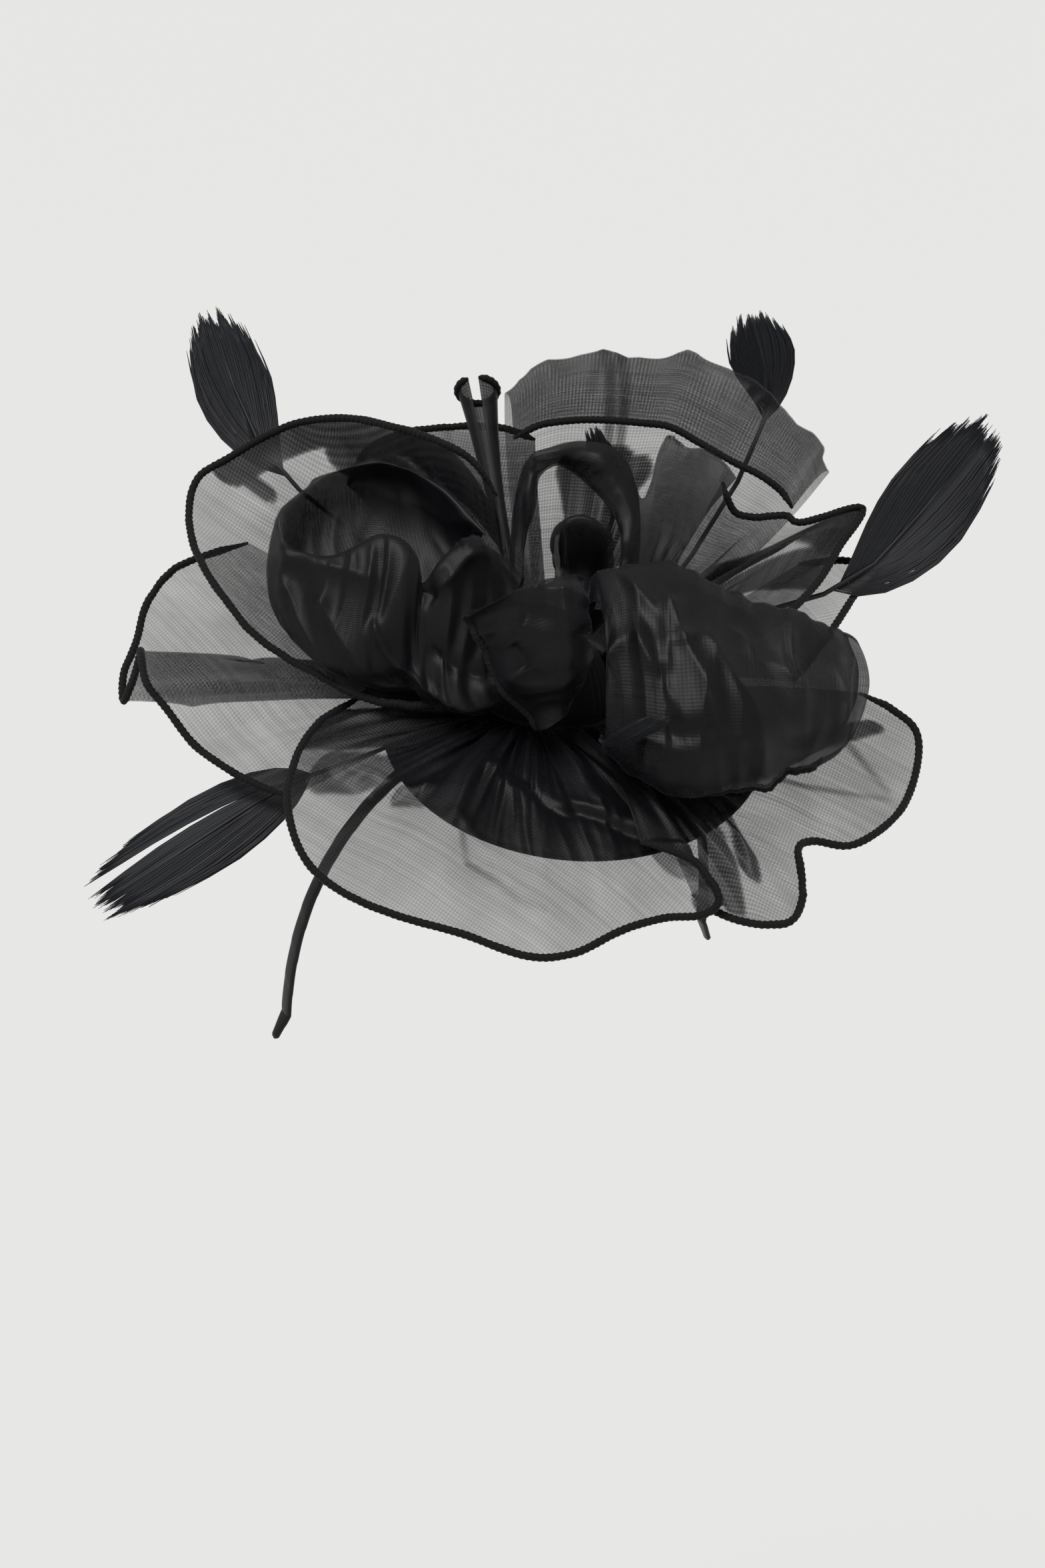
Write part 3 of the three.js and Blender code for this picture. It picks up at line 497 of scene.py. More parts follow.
def surface_through(sections, ripples):
    """A surface through sections of four points, rippled most a third of the way out."""
    columns = [[section[k] for section in sections] for k in range(4)]
    count, depth = ripples

    def surface(across, along):
        place = through_four([along_rows(column, across) for column in columns], along)
        swell = along * (1 - along) ** 2 * RIPPLE_PEAK
        place.z += depth * swell * math.cos(2 * math.pi * count * across)
        return place

    return surface


def gather_point(spec, index):
    """Where one section of a sheet leaves the bundle."""
    start, end, low, high = spec["root"]
    share = index / (len(spec["rows"]) - 1)
    return root_point(mix(start, end, share), mix(low, high, share))


def petal_sections(spec):
    """Sections of a petal: gather, two places raised by the belly, and hem."""
    sections = []
    for index, (turn, reach, lift, belly) in enumerate(spec["rows"]):
        gather, hem = gather_point(spec, index), polar(turn, reach, lift)
        rise = Vector((0, 0, belly * BELLY_SHARE))
        raised = [gather.lerp(hem, share) + rise for share in (1 / 3, 2 / 3)]
        sections.append([gather, *raised, hem])
    return sections


def hood_sections(spec):
    """Sections of the hood: gather, wall, crest, and the hem that curls forward over it."""
    sections = []
    for index, (turn, reach, lift, crest_reach, crest_lift, sag) in enumerate(spec["rows"]):
        gather, crest = gather_point(spec, index), polar(turn, crest_reach, crest_lift)
        wall = gather.lerp(crest, spec["wall_share"]) - Vector((0, 0, sag))
        sections.append([gather, wall, crest, polar(turn, reach, lift)])
    return sections


def roll_sections(spec):
    """Sections of a rolled petal: gather, waist, bulge and rim."""
    return [
        [gather_point(spec, index), *(Vector(place) for place in row)]
        for index, row in enumerate(spec["rows"])
    ]


def fold_sections(spec):
    """Sections of a fold, whose four points are all in its table."""
    return [[Vector(place) for place in row] for row in spec["rows"]]


def curl_surface(across, along):
    """The curl's sleeve: across goes round it, along goes from root to rim."""
    angle = math.radians(CURL["from"] + CURL["sweep"] * across)
    place = root_point(CURL["root_turn"], CURL["root_lift"]).lerp(
        polar(CURL["turn"], CURL["reach"], CURL["lift"]), along)
    place.z -= CURL["sag"] * math.sin(math.pi * along)
    size = mix(CURL["throat"], CURL["radius"], along ** 3)
    place.x += size * math.cos(angle)
    place.z += size * math.sin(angle) * CURL["oval"]
    return place


def mesh_from(bm, name):
    """The mesh of a finished shape."""
    mesh = bpy.data.meshes.new(name)
    bm.to_mesh(mesh)
    bm.free()
    return mesh


def place_in_scene(name, data):
    """A new object at the origin of the shared frame."""
    made = bpy.data.objects.new(name, data)
    bpy.context.scene.collection.objects.link(made)
    return made


def settle(bm, name, finish, node=None):
    """A finished piece: smooth, and riding on the part's one body."""
    mesh = mesh_from(bm, name)
    mesh.shade_smooth()
    mesh.materials.append(finish)
    made = place_in_scene(name, mesh)
    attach(made, BODY)
    if node:
        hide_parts(node)
    return made


def settle_solid(bm, name, finish, node):
    """A closed piece that was made in the flower's frame."""
    bmesh.ops.recalc_face_normals(bm, faces=bm.faces)
    bmesh.ops.transform(bm, matrix=FLOWER, verts=bm.verts)
    settle(bm, name, finish, node)


def grid(steps, value=None):
    """A flat grid whose corners are told by their shares across and along."""
    bm = bmesh.new()
    if value:
        bm.verts.layers.float.new(value)
    bmesh.ops.create_grid(bm, x_segments=steps[0], y_segments=steps[1], size=0.5)
    shares = {vertex: (vertex.co.x + 0.5, vertex.co.y + 0.5) for vertex in bm.verts}
    return bm, shares


def lay_map(bm, name, place_of):
    """Gives every corner of a face its place on a flat map."""
    uv = bm.loops.layers.uv.new(name)
    for face in bm.faces:
        for loop in face.loops:
            loop[uv].uv = place_of(loop.vert)


def close_ends(bm):
    """Joins the seam of a grid that is rolled up, and caps its two ends."""
    bmesh.ops.remove_doubles(bm, verts=bm.verts, dist=1e-7)
    bmesh.ops.holes_fill(bm, edges=[edge for edge in bm.edges if edge.is_boundary], sides=0)
    bmesh.ops.recalc_face_normals(bm, faces=bm.faces)


def run_up_to(points):
    """The length of a line up to each of its points."""
    lengths = [0.0]
    for a, b in zip(points, points[1:]):
        lengths.append(lengths[-1] + (b - a).length)
    return lengths


def tube(name, points, radius, sides, finish):
    """A closed tube along points in metres. radius(distance, angle, share) is in metres."""
    lengths = run_up_to(points)
    last = len(points) - 1
    axes = []
    across = None
    for index in range(last + 1):
        ahead = points[min(index + 1, last)] - points[max(index - 1, 0)]
        ahead.normalize()
        guess = across if across else ahead.orthogonal()
        across = (guess - ahead * guess.dot(ahead)).normalized()
        axes.append((across, ahead.cross(across)))
    bm, shares = grid((last, sides))
    lay_map(bm, "wrap", lambda vertex: (shares[vertex][0] * lengths[-1], shares[vertex][1]))
    for vertex, (share, turn) in shares.items():
        index = round(share * last)
        angle = 2 * math.pi * turn
        size = radius(lengths[index], angle, share)
        first, second = axes[index]
        vertex.co = points[index] + first * (size * math.cos(angle))
        vertex.co += second * (size * math.sin(angle))
    close_ends(bm)
    return settle(bm, name, finish)


# ---- Cloth ----
def crease_depth(x, y, creases):
    """Long single folds: each runs from one place to another on the flat cloth, in mm."""
    depth = 0.0
    for x0, y0, x1, y1, wide, high in creases:
        dx, dy = x1 - x0, y1 - y0
        run = math.hypot(dx, dy)
        t = ((x - x0) * dx + (y - y0) * dy) / (run * run)
        away = ((x - x0) * dy - (y - y0) * dx) / run
        spread = wide * (CREASE_START + (1 - CREASE_START) * max(0.0, min(1.0, t)))
        near = abs(away) / spread
        if near < 3 and -CREASE_FADE < t < 1 + CREASE_FADE:
            ends = smooth(-CREASE_FADE, 0.08, t) * smooth(1 + CREASE_FADE, 0.88, t)
            depth += high * math.exp(-near ** 1.1) * ends
    return depth


def tucked_plies(x, y, tucks):
    """Layers added where the cloth is tucked double. A thin tuck fades towards its end."""
    added = 0.0
    for x0, y0, x1, y1, wide, layers in tucks:
        dx, dy = x1 - x0, y1 - y0
        t = max(0.0, min(1.0, ((x - x0) * dx + (y - y0) * dy) / (dx * dx + dy * dy)))
        away = math.hypot(x - x0 - t * dx, y - y0 - t * dy)
        fade = 1 if wide > THIN_TUCK else 1 - 0.8 * t
        added = max(added, layers * fade * smooth(wide + TUCK_EDGE, wide - TUCK_EDGE, away))
    return added


def pleat_depth(x, along, seed, gather, fade):
    """Fine gathers that spread from the stitched end, and long sharp folds in the sheet."""
    x += DRIFT * noise.noise(Vector((x / DRIFT_PITCH, along * 2, seed + 60)))
    fine = noise.noise(Vector((x / GATHER_PITCH, along * 1.2, seed)))
    folds = 1 - 3.2 * abs(noise.noise(Vector((x / FOLD_PITCH, along * 1.3, seed + 20))))
    narrow = 1 - 3 * abs(noise.noise(Vector((x / NARROW_PITCH, along * 1.7, seed + 30))))
    broad = 1 - 2 * abs(noise.noise(Vector((x / BROAD_PITCH, along * 2.4, seed + 40))))
    near = math.exp(-3.2 * along) * smooth(0, 0.06, along)
    middle = smooth(0, 0.15, along) * (1 - fade * along)
    sharp = FOLD_DEPTH * folds + NARROW_DEPTH * narrow
    gathered = gather * (GATHER_DEPTH * fine * near + sharp * middle)
    return gathered + BROAD_DEPTH * broad * middle * (1 - along)


def share_on(along, layers):
    """How far up the surface a place on the sheet lies: a doubled sheet goes there and back."""
    if layers == "soft rim":
        return 1 - abs(2 * along - 1)
    return abs(2 * along - 1) if layers == "hemmed" else along


def run_length(surface, start, end, steps, layers):
    """Length in mm of a line across the sheet, from one pair of shares to another."""
    places = []
    for k in range(steps + 1):
        across, along = mix(start[0], end[0], k / steps), mix(start[1], end[1], k / steps)
        places.append(surface(across, share_on(along, layers)))
    return sum((b - a).length for a, b in zip(places, places[1:]))


def outward_sign(surface):
    """Whether the surface's own normal points away from the bundle."""
    across = surface(0.52, 0.6) - surface(0.48, 0.6)
    along = surface(0.5, 0.62) - surface(0.5, 0.58)
    away = surface(0.5, 0.6) - Vector((CORE_SIDE, CORE_BACK, 5))
    return math.copysign(1, across.cross(along).dot(away))


def cloth(name, surface, spec):
    """A sheet that follows a surface, with its weave map, gathers, folds and rolled hem."""
    layers = spec.get("layers", "single")
    single, hemmed = layers == "single", layers != "soft rim"
    bm, shares = grid(spec["steps"], "plies")
    width = max(run_length(surface, (0, end), (1, end), 60, "single") for end in (0.5, 1))
    length = max(run_length(surface, (k, 0), (k, 1), 40, layers) for k in (0.25, 0.5, 0.75))
    reach = length if single else length / 2
    for vertex, (across, along) in shares.items():
        vertex.co = surface(across, share_on(along, layers))

    def weave_place(vertex):
        """Straight threads across a flat petal, or threads that follow the sheet."""
        across, along = shares[vertex]
        if "thread_turn" in spec:
            return (Matrix.Rotation(math.radians(spec["thread_turn"]), 2) @ vertex.co.xy) * MM
        return Vector((across * width, along * length)) * MM

    lay_map(bm, "weave", weave_place)
    bm.normal_update()
    normals = {vertex: vertex.normal.copy() for vertex in bm.verts}
    plies = bm.verts.layers.float["plies"]
    first, half, last = spec["plies"]
    gather, fade = spec.get("gather", 1), SINGLE_FADE if single else DOUBLED_FADE
    creases, tucks = spec.get("creases", ()), spec.get("tucks", ())
    sign = outward_sign(surface)
    for vertex, (across, along) in shares.items():
        share = share_on(along, layers)
        x, y = across * width, share * reach
        turn = 2 * along - 1
        outer = single or (turn > 0) == hemmed
        depth = pleat_depth(x, share, spec["seed"] + (0 if outer else INNER_PLY_SEED), gather, fade)
        if not single:
            rounded = math.sqrt(min(1, abs(turn) / 0.05))
            depth = (DOUBLED_KEEPS * depth + spec["ply_gap"] / 2) * rounded
        if outer:
            depth += crease_depth(x, y, creases)
        vertex.co += normals[vertex] * (depth * sign)
        lower, upper = (first, half) if share < 0.5 else (half, last)
        vertex[plies] = mix(lower, upper, (share % 0.5) * 2 if share < 1 else 1)
        if outer:
            vertex[plies] += tucked_plies(x, y, tucks)
    bmesh.ops.transform(bm, matrix=FLOWER, verts=bm.verts)
    rim = sorted(
        (across, vertex.co.copy()) for vertex, (across, along) in shares.items() if along > 0.9999)
    area = sum(face.calc_area() for face in bm.faces)
    piece = settle(bm, name + "_cloth", ORGANZA, name)
    wall = piece.modifiers.new("cloth_wall", "SOLIDIFY")
    wall.thickness = CLOTH_WALL * MM
    wall.offset = 0
    if hemmed:
        hem_along(name + "_hem", [place for _, place in rim], spec["seed"])


def resample(points, step):
    """Points evenly spaced along a line."""
    lengths = run_up_to(points)
    count = max(2, round(lengths[-1] / step))
    made = []
    index = 0
    for k in range(count + 1):
        target = lengths[-1] * k / count
        while index < len(lengths) - 2 and lengths[index + 1] < target:
            index += 1
        span = max(lengths[index + 1] - lengths[index], 1e-9)
        made.append(points[index].lerp(points[index + 1], (target - lengths[index]) / span))
    return made


def hem_along(name, points, seed):
    """A rolled hem bound by overlock stitches, whose threads wind round it."""
    def radius(distance, angle, share):
        wrap = 0.5 + 0.5 * math.sin(2 * math.pi * distance / (HEM_STITCH_PITCH * MM) + angle)
        lump = noise.noise(Vector((distance / (HEM_LUMP_PITCH * MM), seed, 0)))
        end = min(1, 12 * share + 0.4, 12 * (1 - share) + 0.4)
        return HEM_RADIUS * MM * (0.88 + 0.2 * wrap + 0.1 * lump) * end

    return tube(name, resample(points, HEM_STEP * MM), radius, HEM_SIDES, HEM_THREAD)


# ---- Materials ----
def linear(code):
    """An sRGB hex colour as linear red, green, blue and alpha."""
    parts = [int(code[k:k + 2], 16) / 255 for k in (1, 3, 5)]
    return [p / 12.92 if p <= 0.04045 else ((p + 0.055) / 1.055) ** 2.4 for p in parts] + [1]


def add(tree, kind, links=None, **settings):
    """Adds a node with its settings, and links or sets its inputs."""
    made = tree.nodes.new(kind)
    for key, value in settings.items():
        setattr(made, key, value)
    for socket, value in (links or {}).items():
        if isinstance(value, bpy.types.NodeSocket):
            tree.links.new(value, made.inputs[socket])
        else:
            made.inputs[socket].default_value = value
    return made


def finish_of(name, shader_values):
    """A new material with its node tree and its shader, set to the given values."""
    made = bpy.data.materials.new(name)
    made.use_nodes = True
    shader = made.node_tree.nodes["Principled BSDF"]
    for socket, value in shader_values.items():
        shader.inputs[socket].default_value = value
    return made, made.node_tree, shader


def dress(tree, shader, share, dark, light, height=None, strength=0, rise=0):
    """Spreads two tones over a finish, and raises it by a height of up to rise mm."""
    colour = add(tree, "ShaderNodeMix", {
        0: share, 6: linear(dark), 7: linear(light)}, data_type="RGBA")
    tree.links.new(colour.outputs[2], shader.inputs["Base Color"])
    if height is not None:
        bump = add(tree, "ShaderNodeBump", {
            "Height": height, "Strength": strength, "Distance": rise * MM})
        tree.links.new(bump.outputs[0], shader.inputs["Normal"])


def organza_finish():
    """Polyester organza, plain woven from fine shiny threads: sheer, with a soft sheen."""
    made, tree, shader = finish_of("organza_woven_polyester", {
        "Roughness": 0.48, "IOR": 1.5, "Specular IOR Level": 0.24,
        "Sheen Weight": 0.05, "Sheen Roughness": 0.35,
        "Sheen Tint": linear("#b9c2d8"),
    })
    place = add(tree, "ShaderNodeTexCoord").outputs["UV"]
    axes = add(tree, "ShaderNodeSeparateXYZ", {0: place})
    # Threads lie 0.35 mm apart in the real cloth, and are drawn 0.9 mm apart so they show.
    per_metre = 2 * math.pi / (THREAD_SPACING * MM)
    threads = []
    for axis in (0, 1):
        turn = add(tree, "ShaderNodeMath", {
            0: axes.outputs[axis], 1: per_metre}, operation="MULTIPLY")
        thread = add(tree, "ShaderNodeMath", {0: turn.outputs[0]}, operation="SINE")
        threads.append(thread.outputs[0])
    weave = add(tree, "ShaderNodeMath", {0: threads[0], 1: threads[1]}, operation="ADD")
    # Slubs: single threads that are thicker, drawn out along the weft.
    drawn = add(tree, "ShaderNodeMapping", {"Vector": place, "Scale": (14, 620, 1)})
    slub = add(tree, "ShaderNodeTexNoise", {"Vector": drawn.outputs[0], "Scale": 1, "Detail": 1})
    cloud = add(tree, "ShaderNodeTexNoise", {"Vector": place, "Scale": 60, "Detail": 2})
    cover = add(tree, "ShaderNodeMapRange", {
        "Value": weave.outputs[0], "From Min": -2, "From Max": 2, "To Min": 0.24, "To Max": 0.4})
    for uneven, least, most in ((slub, -0.02, 0.04), (cloud, -0.03, 0.03)):
        more = add(tree, "ShaderNodeMapRange", {
            "Value": uneven.outputs["Fac"], "From Min": 0.3, "From Max": 0.7,
            "To Min": least, "To Max": most})
        cover = add(tree, "ShaderNodeMath", {
            0: cover.outputs[0], 1: more.outputs[0]}, operation="ADD")
    # Each further layer dims what the one before lets through.
    plies = add(tree, "ShaderNodeAttribute", attribute_name="plies")
    clear = add(tree, "ShaderNodeMath", {0: 1.0, 1: cover.outputs[0]}, operation="SUBTRACT")
    clear = add(tree, "ShaderNodeMath", {
        0: clear.outputs[0], 1: plies.outputs["Fac"]}, operation="POWER")
    solid = add(tree, "ShaderNodeMath", {0: 1.0, 1: clear.outputs[0]}, operation="SUBTRACT")
    tree.links.new(solid.outputs[0], shader.inputs["Alpha"])
    dress(tree, shader, slub.outputs["Fac"], "#040406", "#0b0b0f", weave.outputs[0], 0.25, 0.05)
    return made


def hem_finish():
    """Spun polyester thread wound tight round the rolled edge: dull, with fine strands, and painted
    shading: the colour is lighter on the strands' tops and darker in the grooves between them.
    """
    made, tree, shader = finish_of("hem_spun_polyester_thread", {
        "Roughness": 0.72, "IOR": 1.5, "Specular IOR Level": 0.15,
        "Sheen Weight": 0.04, "Sheen Roughness": 0.5,
    })
    place = add(tree, "ShaderNodeTexCoord").outputs["UV"]
    axes = add(tree, "ShaderNodeSeparateXYZ", {0: place})
    along = add(tree, "ShaderNodeMath", {
        0: axes.outputs[0], 1: 1 / (HEM_STRAND_PITCH * MM)}, operation="MULTIPLY")
    wound = add(tree, "ShaderNodeMath", {0: along.outputs[0], 1: axes.outputs[1]}, operation="ADD")
    turn = add(tree, "ShaderNodeMath", {0: wound.outputs[0], 1: 2 * math.pi}, operation="MULTIPLY")
    strand = add(tree, "ShaderNodeMath", {0: turn.outputs[0]}, operation="SINE")
    # Painted shading: the strands' tops are coloured lighter and the grooves between them darker.
    painted_strand_shading = add(tree, "ShaderNodeMapRange", {
        "Value": strand.outputs[0], "From Min": -1, "From Max": 1})
    dress(tree, shader, painted_strand_shading.outputs[0], "#030304", "#0b0b0d", strand.outputs[0], 0.5, 0.12)
    return made


def satin_finish():
    """Satin ribbon wound round the band: smooth floats that gleam along the wrap, with painted sheen
    that colours the raised floats lighter.
    """
    made, tree, shader = finish_of("band_satin_ribbon", {
        "Roughness": 0.34, "IOR": 1.5, "Specular IOR Level": 0.22, "Anisotropic": 0.4,
    })
    place = add(tree, "ShaderNodeTexCoord").outputs["UV"]
    stretched = add(tree, "ShaderNodeMapping", {"Vector": place, "Scale": (2600, 3, 1)})
    floats = add(tree, "ShaderNodeTexNoise", {"Vector": stretched.outputs[0], "Scale": 1, "Detail": 2})
    # Painted sheen: the streaks that raise the floats also colour them lighter.
    float_relief_and_painted_sheen = floats.outputs["Fac"]
    dress(tree, shader, float_relief_and_painted_sheen, "#050506", "#0c0c0f", float_relief_and_painted_sheen, 0.3, 0.08)
    return made


def felt_finish():
    """Pressed wool felt on the base: matt, with short tangled fibres."""
    made, tree, shader = finish_of("base_pressed_felt", {
        "Roughness": 0.95, "IOR": 1.5, "Specular IOR Level": 0.1,
        "Sheen Weight": 0.05, "Sheen Roughness": 0.6,
    })
    place = add(tree, "ShaderNodeTexCoord").outputs["Object"]
    fibre = add(tree, "ShaderNodeTexNoise", {
        "Vector": place, "Scale": 1400, "Detail": 4, "Roughness": 0.7}).outputs["Fac"]
    dress(tree, shader, fibre, "#040405", "#0e0e10", fibre, 0.6, 0.3)
    return made


def feather_finish():
    """Dyed rooster feather: keratin barbs with a low gloss and a faint blue cast."""
    made, tree, shader = finish_of("feather_dyed_barbs", {
        "Roughness": 0.48, "IOR": 1.55, "Specular IOR Level": 0.25, "Sheen Weight": 0.04,
        "Sheen Tint": linear("#aab6d6"),
    })
    place = add(tree, "ShaderNodeTexCoord").outputs["Object"]
    streak = add(tree, "ShaderNodeTexNoise", {"Vector": place, "Scale": 240, "Detail": 3})
    dress(tree, shader, streak.outputs["Fac"], "#040406", "#0e0f13")
    return made


ORGANZA = organza_finish()
HEM_THREAD = hem_finish()
SATIN = satin_finish()
FELT = felt_finish()
FEATHER = feather_finish()


# ---- Band, base and bundle ----
def band_path():
    """The inner line of the band from tip to tip: an arch whose ends turn out."""
    stations = 420
    power = 2 / BAND_ROUNDNESS
    places = []
    for k in range(stations + 1):
        angle = math.pi * (k / stations - 0.5)
        x = BAND_HALF_WIDTH * math.copysign(abs(math.sin(angle)) ** power, angle)
        z = BAND_HEIGHT * (max(0.0, math.cos(angle)) ** power - 1)
        places.append(Vector((x, 0, z)))
    turn = math.radians(BAND_TIP_TURN)
    tip = Vector((math.sin(turn), 0, -math.cos(turn)))
    tip_stations = 24
    last, first = places[-1].copy(), places[0].copy()
    for k in range(1, tip_stations + 1):
        reach = BAND_TIP_LENGTH * k / tip_stations
        places.append(last + tip * reach)
        places.insert(0, first + Vector((-tip.x, 0, tip.z)) * reach)
    return resample(places, BAND_STEP)


def build_band():
    """The band: a flat strip, rounded at its edges and tips, under a wound ribbon."""
    path = band_path()
    total = len(path) - 1
    bm, shares = grid((total, BAND_SIDES))

    def wrap_place(vertex):
        share, turn = shares[vertex]
        return (share * total * BAND_STEP * MM + turn * LAP_SLANT * MM, turn)

    lay_map(bm, "wrap", wrap_place)
    lean = Matrix.Rotation(math.radians(BAND_LEAN), 4, "X")
    for vertex, (share, turn) in shares.items():
        index = round(share * total)
        ahead = (path[min(index + 1, total)] - path[max(index - 1, 0)]).normalized()
        out = Vector((-ahead.z, 0, ahead.x))
        if out.dot(path[index] - Vector((0, 0, -BAND_HEIGHT))) < 0:
            out = -out
        distance = share * total * BAND_STEP
        edge = min(distance, total * BAND_STEP - distance)
        narrow = mix(BAND_TIP_NARROW, 1, smooth(0, BAND_TIP_LENGTH, edge))
        narrow *= math.sqrt(min(1, (edge + 0.05) / 1.2))
        lap = (distance / LAP_PITCH + turn) % 1
        ridge = LAP_RIDGE * smooth(0, 0.12, lap) * (1 - smooth(0.12, 1, lap))
        wide = (BAND_STRIP_WIDTH / 2 - 0.1 + ridge) * narrow
        deep = (BAND_THICKNESS / 2 - 0.05 + ridge * 0.6) * min(1, math.sqrt((edge + 0.05) / 0.8))
        c, s = math.cos(2 * math.pi * turn), math.sin(2 * math.pi * turn)
        place = path[index] + out * (BAND_THICKNESS / 2)
        place += Vector((0, 1, 0)) * (wide * math.copysign(abs(c) ** 0.6, c))
        place += out * (deep * math.copysign(abs(s) ** 0.7, s))
        vertex.co = (lean @ place) * MM
    close_ends(bm)
    settle(bm, "band", SATIN, "headband")


def spun(profile, steps, seam):
    """A closed round shape from its profile of radius and height."""
    bm = bmesh.new()
    vertices = [bm.verts.new((radius, 0, height)) for radius, height in profile]
    edges = [bm.edges.new(pair) for pair in zip(vertices, vertices[1:])]
    bmesh.ops.spin(bm, geom=vertices + edges, cent=(0, 0, 0), axis=(0, 0, 1),
                   angle=2 * math.pi, steps=steps, use_merge=True)
    bmesh.ops.remove_doubles(bm, verts=bm.verts, dist=seam)
    return bm


def build_base():
    """The domed disc with a bound rim."""
    radii = [BASE_RADIUS * k / BASE_RINGS for k in range(BASE_RINGS + 1)]
    profile = [(radius, BASE_TOP - BASE_DROP * (radius / BASE_RADIUS) ** 2) for radius in radii]
    edge = BASE_TOP - BASE_DROP - BASE_THICKNESS / 2
    for k in range(1, 8):
        angle = math.pi / 2 - math.pi * k / 8
        profile.append((BASE_RADIUS + BASE_RIM * math.cos(angle) - BASE_RIM / 2,
                        edge + BASE_RIM * math.sin(angle)))
    under = BASE_TOP - BASE_THICKNESS
    for radius in reversed(radii):
        profile.append((radius, under - BASE_DROP * (radius / BASE_RADIUS) ** 2))
    settle_solid(spun(profile, 96, 1e-3), "base", FELT, "base_disc")


def build_bundle():
    """The stitched bundle of gathered ends, pleated all round."""
    bottom = BASE_TOP + CORE_OFF_BASE
    profile = [(0.0, bottom)]
    for k in range(13):
        height = mix(bottom, CORE_TOP - 1, k / 12)
        profile.append((1 - CORE_TAPER * (height / CORE_TOP) ** 2 - CORE_INSET, height))
    profile += [(0.5, CORE_TOP - 0.3), (0.0, CORE_TOP)]
    bm = spun(profile, 144, 1e-4)
    for vertex in bm.verts:
        angle = math.atan2(vertex.co.y, vertex.co.x)
        wave = 0.5 + 0.5 * math.cos(CORE_PLEATS * angle)
        pleat = 1 - CORE_PLEAT_DEPTH * wave * smooth(0, 0.3, vertex.co.xy.length)
        vertex.co.x *= CORE_LONG * pleat
        vertex.co.y *= CORE_SHORT * pleat
        vertex.co += Vector((CORE_SIDE, CORE_BACK, 0))
    settle_solid(bm, "gathered_bundle", FELT, "gather_core")


# ---- Feathers ----
def quill_point(points, share):
    """A smooth place along the quill, its ends carried straight on."""
    ends = [2 * points[0] - points[1], *points, 2 * points[-1] - points[-2]]
    place = max(0.0, min(share, 1.2)) * (len(points) - 1)
    index = min(int(place), len(points) - 2)
    return curve_between(ends[index:index + 4], place - index)


def barb_shape():
    """A slender closed barb: four sides, seven steps."""
    bm = bmesh.new()
    bmesh.ops.create_cone(bm, cap_ends=True, segments=4, radius1=1, radius2=1, depth=1)
    upright = [edge for edge in bm.edges if abs(edge.verts[0].co.z - edge.verts[1].co.z) > 0.5]
    bmesh.ops.subdivide_edges(bm, edges=upright, cuts=6, use_grid_fill=True)
    return mesh_from(bm, "barb_shape")


BARB = barb_shape()


def frame_at(points, share, flat):
    """A place on the quill, with the directions across the vane and out of it."""
    ahead = (quill_point(points, share + 0.01) - quill_point(points, share - 0.01)).normalized()
    across = (flat - ahead * flat.dot(ahead)).normalized()
    return quill_point(points, share), across, ahead.cross(across)


def add_barb(bm, place, wide, thick):
    """One barb along place(t), which gives its middle, across and out directions."""
    first = len(bm.verts)
    bm.from_mesh(BARB)
    bm.verts.ensure_lookup_table()
    for vertex in bm.verts[first:]:
        t = vertex.co.z + 0.5
        middle, across, out = place(t)
        size = wide * smooth(-0.2, 0.2, t) * (1 - 0.8 * smooth(0.8, 1, t))
        flatter = vertex.co.y * thick * (1 - 0.5 * t)
        vertex.co = middle + across * (vertex.co.x * size) + out * flatter


def build_feather(name, spec):
    """A quill, and barbs that leave it at a flat angle and end in a ragged trimmed tip."""
    rng = random.Random(spec["seed"])
    start = root_point(*spec["root"]) if "root" in spec else Vector(spec["start"])
    points = [start, *(Vector(place) for place in spec["quill"])]
    flat = Vector(spec["flat"]).normalized()
    bm = bmesh.new()
    add_barb(bm, lambda t: frame_at(points, 0.96 * t, flat), QUILL_WIDE, QUILL_THICK)
    count, vane = spec["barbs"], spec["vane"]
    slit, gap = spec.get("slit", (2, 0))
    for k in range(count):
        off = 2 * k / (count - 1) - 1
        begin = vane + (1 - vane) * 0.3 * (1 - abs(off)) + rng.uniform(-0.01, 0.01)
        ragged = noise.noise(Vector((off * 5, spec["seed"], 0)))
        ragged += 0.5 * noise.noise(Vector((off * 17, 0, k % 2)))
        trimmed = spec["trim"] * max(0, 0.5 + ragged + rng.uniform(-0.15, 0.15))
        end = 1 - (1 - vane) * (0.16 * abs(off) ** 3 + trimmed)
        stray = rng.uniform(0, 0.16) if rng.random() < 0.12 else 0
        lift = rng.uniform(-0.25, 0.25)
        apart = gap if off > slit else 0

        def barb(t):
            place = mix(begin, end, t)
            run = (place - begin) / (1 - vane)
            middle, across, out = frame_at(points, place, flat)
            spread = spec["width"] * off * math.sin(math.pi / 2 * min(1, run / 0.62)) ** 0.9
            spread *= 1 - 0.42 * smooth(0.5, 1.1, run) + stray * t ** 3
            middle = middle + across * (spread + apart * t * t)
            middle += out * (0.12 * abs(spread) + lift * t)
            return middle, across, out

        add_barb(bm, barb, BARB_WIDE, BARB_THICK)
    settle_solid(bm, name + "_vane", FEATHER, name)


# ---- Camera, light and floor ----
def look(azimuth, elevation):
    """The direction towards a viewer who stands at an azimuth and elevation."""
    a, e = math.radians(azimuth), math.radians(elevation)
    return Vector((math.sin(a) * math.cos(e), -math.cos(a) * math.cos(e), math.sin(e)))


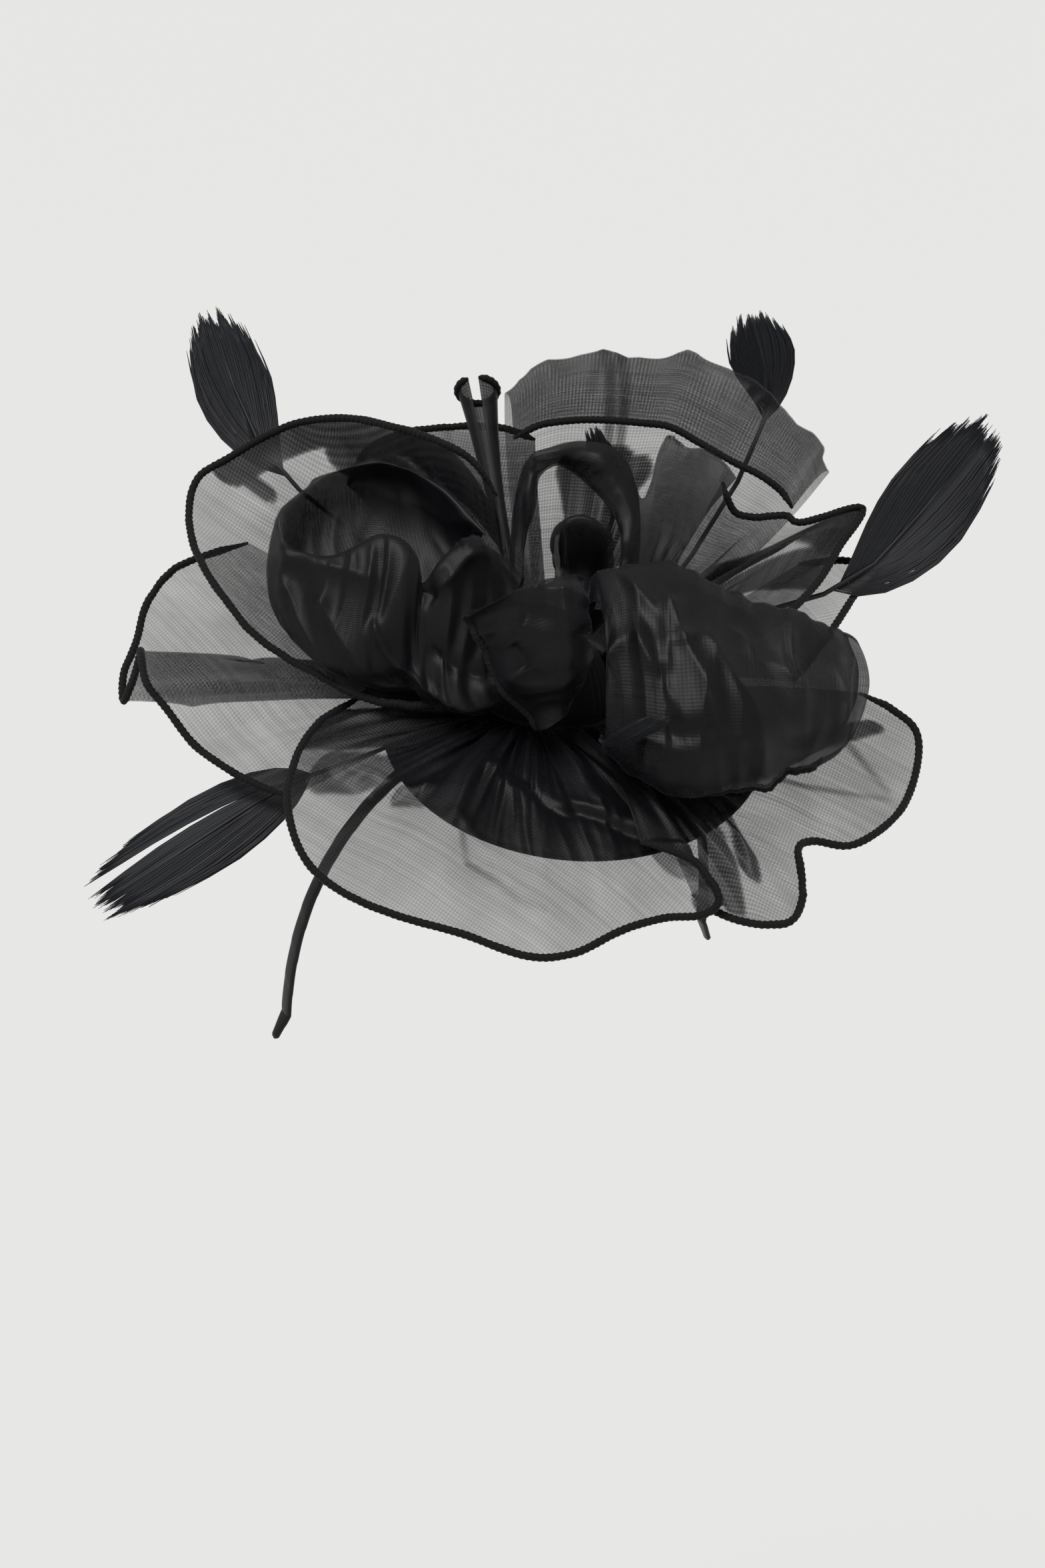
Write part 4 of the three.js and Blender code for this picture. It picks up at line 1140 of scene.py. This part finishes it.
def build_camera():
    """The photograph's view: 30 degrees round to the left and 20 degrees above."""
    back = look(CAMERA_AZIMUTH, CAMERA_ELEVATION)
    turn = math.radians(CAMERA_AZIMUTH)
    right = Vector((math.cos(turn), math.sin(turn), 0))
    up = back.cross(right)
    camera = place_in_scene("camera", bpy.data.cameras.new("camera"))
    camera.data.lens = 80
    camera.data.sensor_width = 36
    camera.data.clip_end = 60
    camera.location = back * CAMERA_DISTANCE - up * CAMERA_LOWERED + right * CAMERA_MOVED_RIGHT
    camera.rotation_euler = Matrix((right, up, back)).transposed().to_euler()
    bpy.context.scene.camera = camera


def soft_sun(name, direction, strength, spread, colour):
    """A wide soft light so far off that it lights floor and flower alike."""
    lamp = bpy.data.lights.new(name, "SUN")
    lamp.energy = strength
    lamp.angle = math.radians(spread)
    lamp.color = linear(colour)[:3]
    made = place_in_scene(name, lamp)
    made.rotation_euler = Vector(direction).to_track_quat("Z", "Y").to_euler()


def build_stage():
    """Matt paper far below the flower, a pale sky and one soft light."""
    bm = bmesh.new()
    bmesh.ops.create_grid(bm, x_segments=8, y_segments=8, size=FLOOR_HALF_WIDTH)
    bmesh.ops.translate(bm, vec=(0, 0, FLOOR_HEIGHT), verts=bm.verts)
    floor = place_in_scene("floor", mesh_from(bm, "floor"))
    paper, *_ = finish_of("floor_matt_paper", {"Roughness": 0.9, "Base Color": linear("#c5c5c4")})
    floor.data.materials.append(paper)
    world = bpy.data.worlds.new("studio")
    bpy.context.scene.world = world
    world.use_nodes = True
    sky = world.node_tree.nodes["Background"]
    sky.inputs["Color"].default_value = linear("#f6f6f4")
    sky.inputs["Strength"].default_value = 0.6
    soft_sun("key_light", (-0.42, -0.3, 0.86), 3.2, 32, "#ffffff")


# ---- Build ----
build_camera()
build_stage()
build_band()
build_base()
build_bundle()
SHEETS = (
    (PETALS, petal_sections), ({"petal_back_hood": HOOD}, hood_sections),
    (ROLLS, roll_sections), (FOLDS, fold_sections),
)
for table, sections in SHEETS:
    for name, spec in table.items():
        cloth(name, surface_through(sections(spec), spec.get("ripples", (0, 0))), spec)
cloth("back_curl", curl_surface, CURL)
for name, spec in FEATHERS.items():
    build_feather(name, spec)

bpy.context.scene.view_settings.view_transform = "Standard"
bpy.context.scene.cycles.transparent_max_bounces = 48
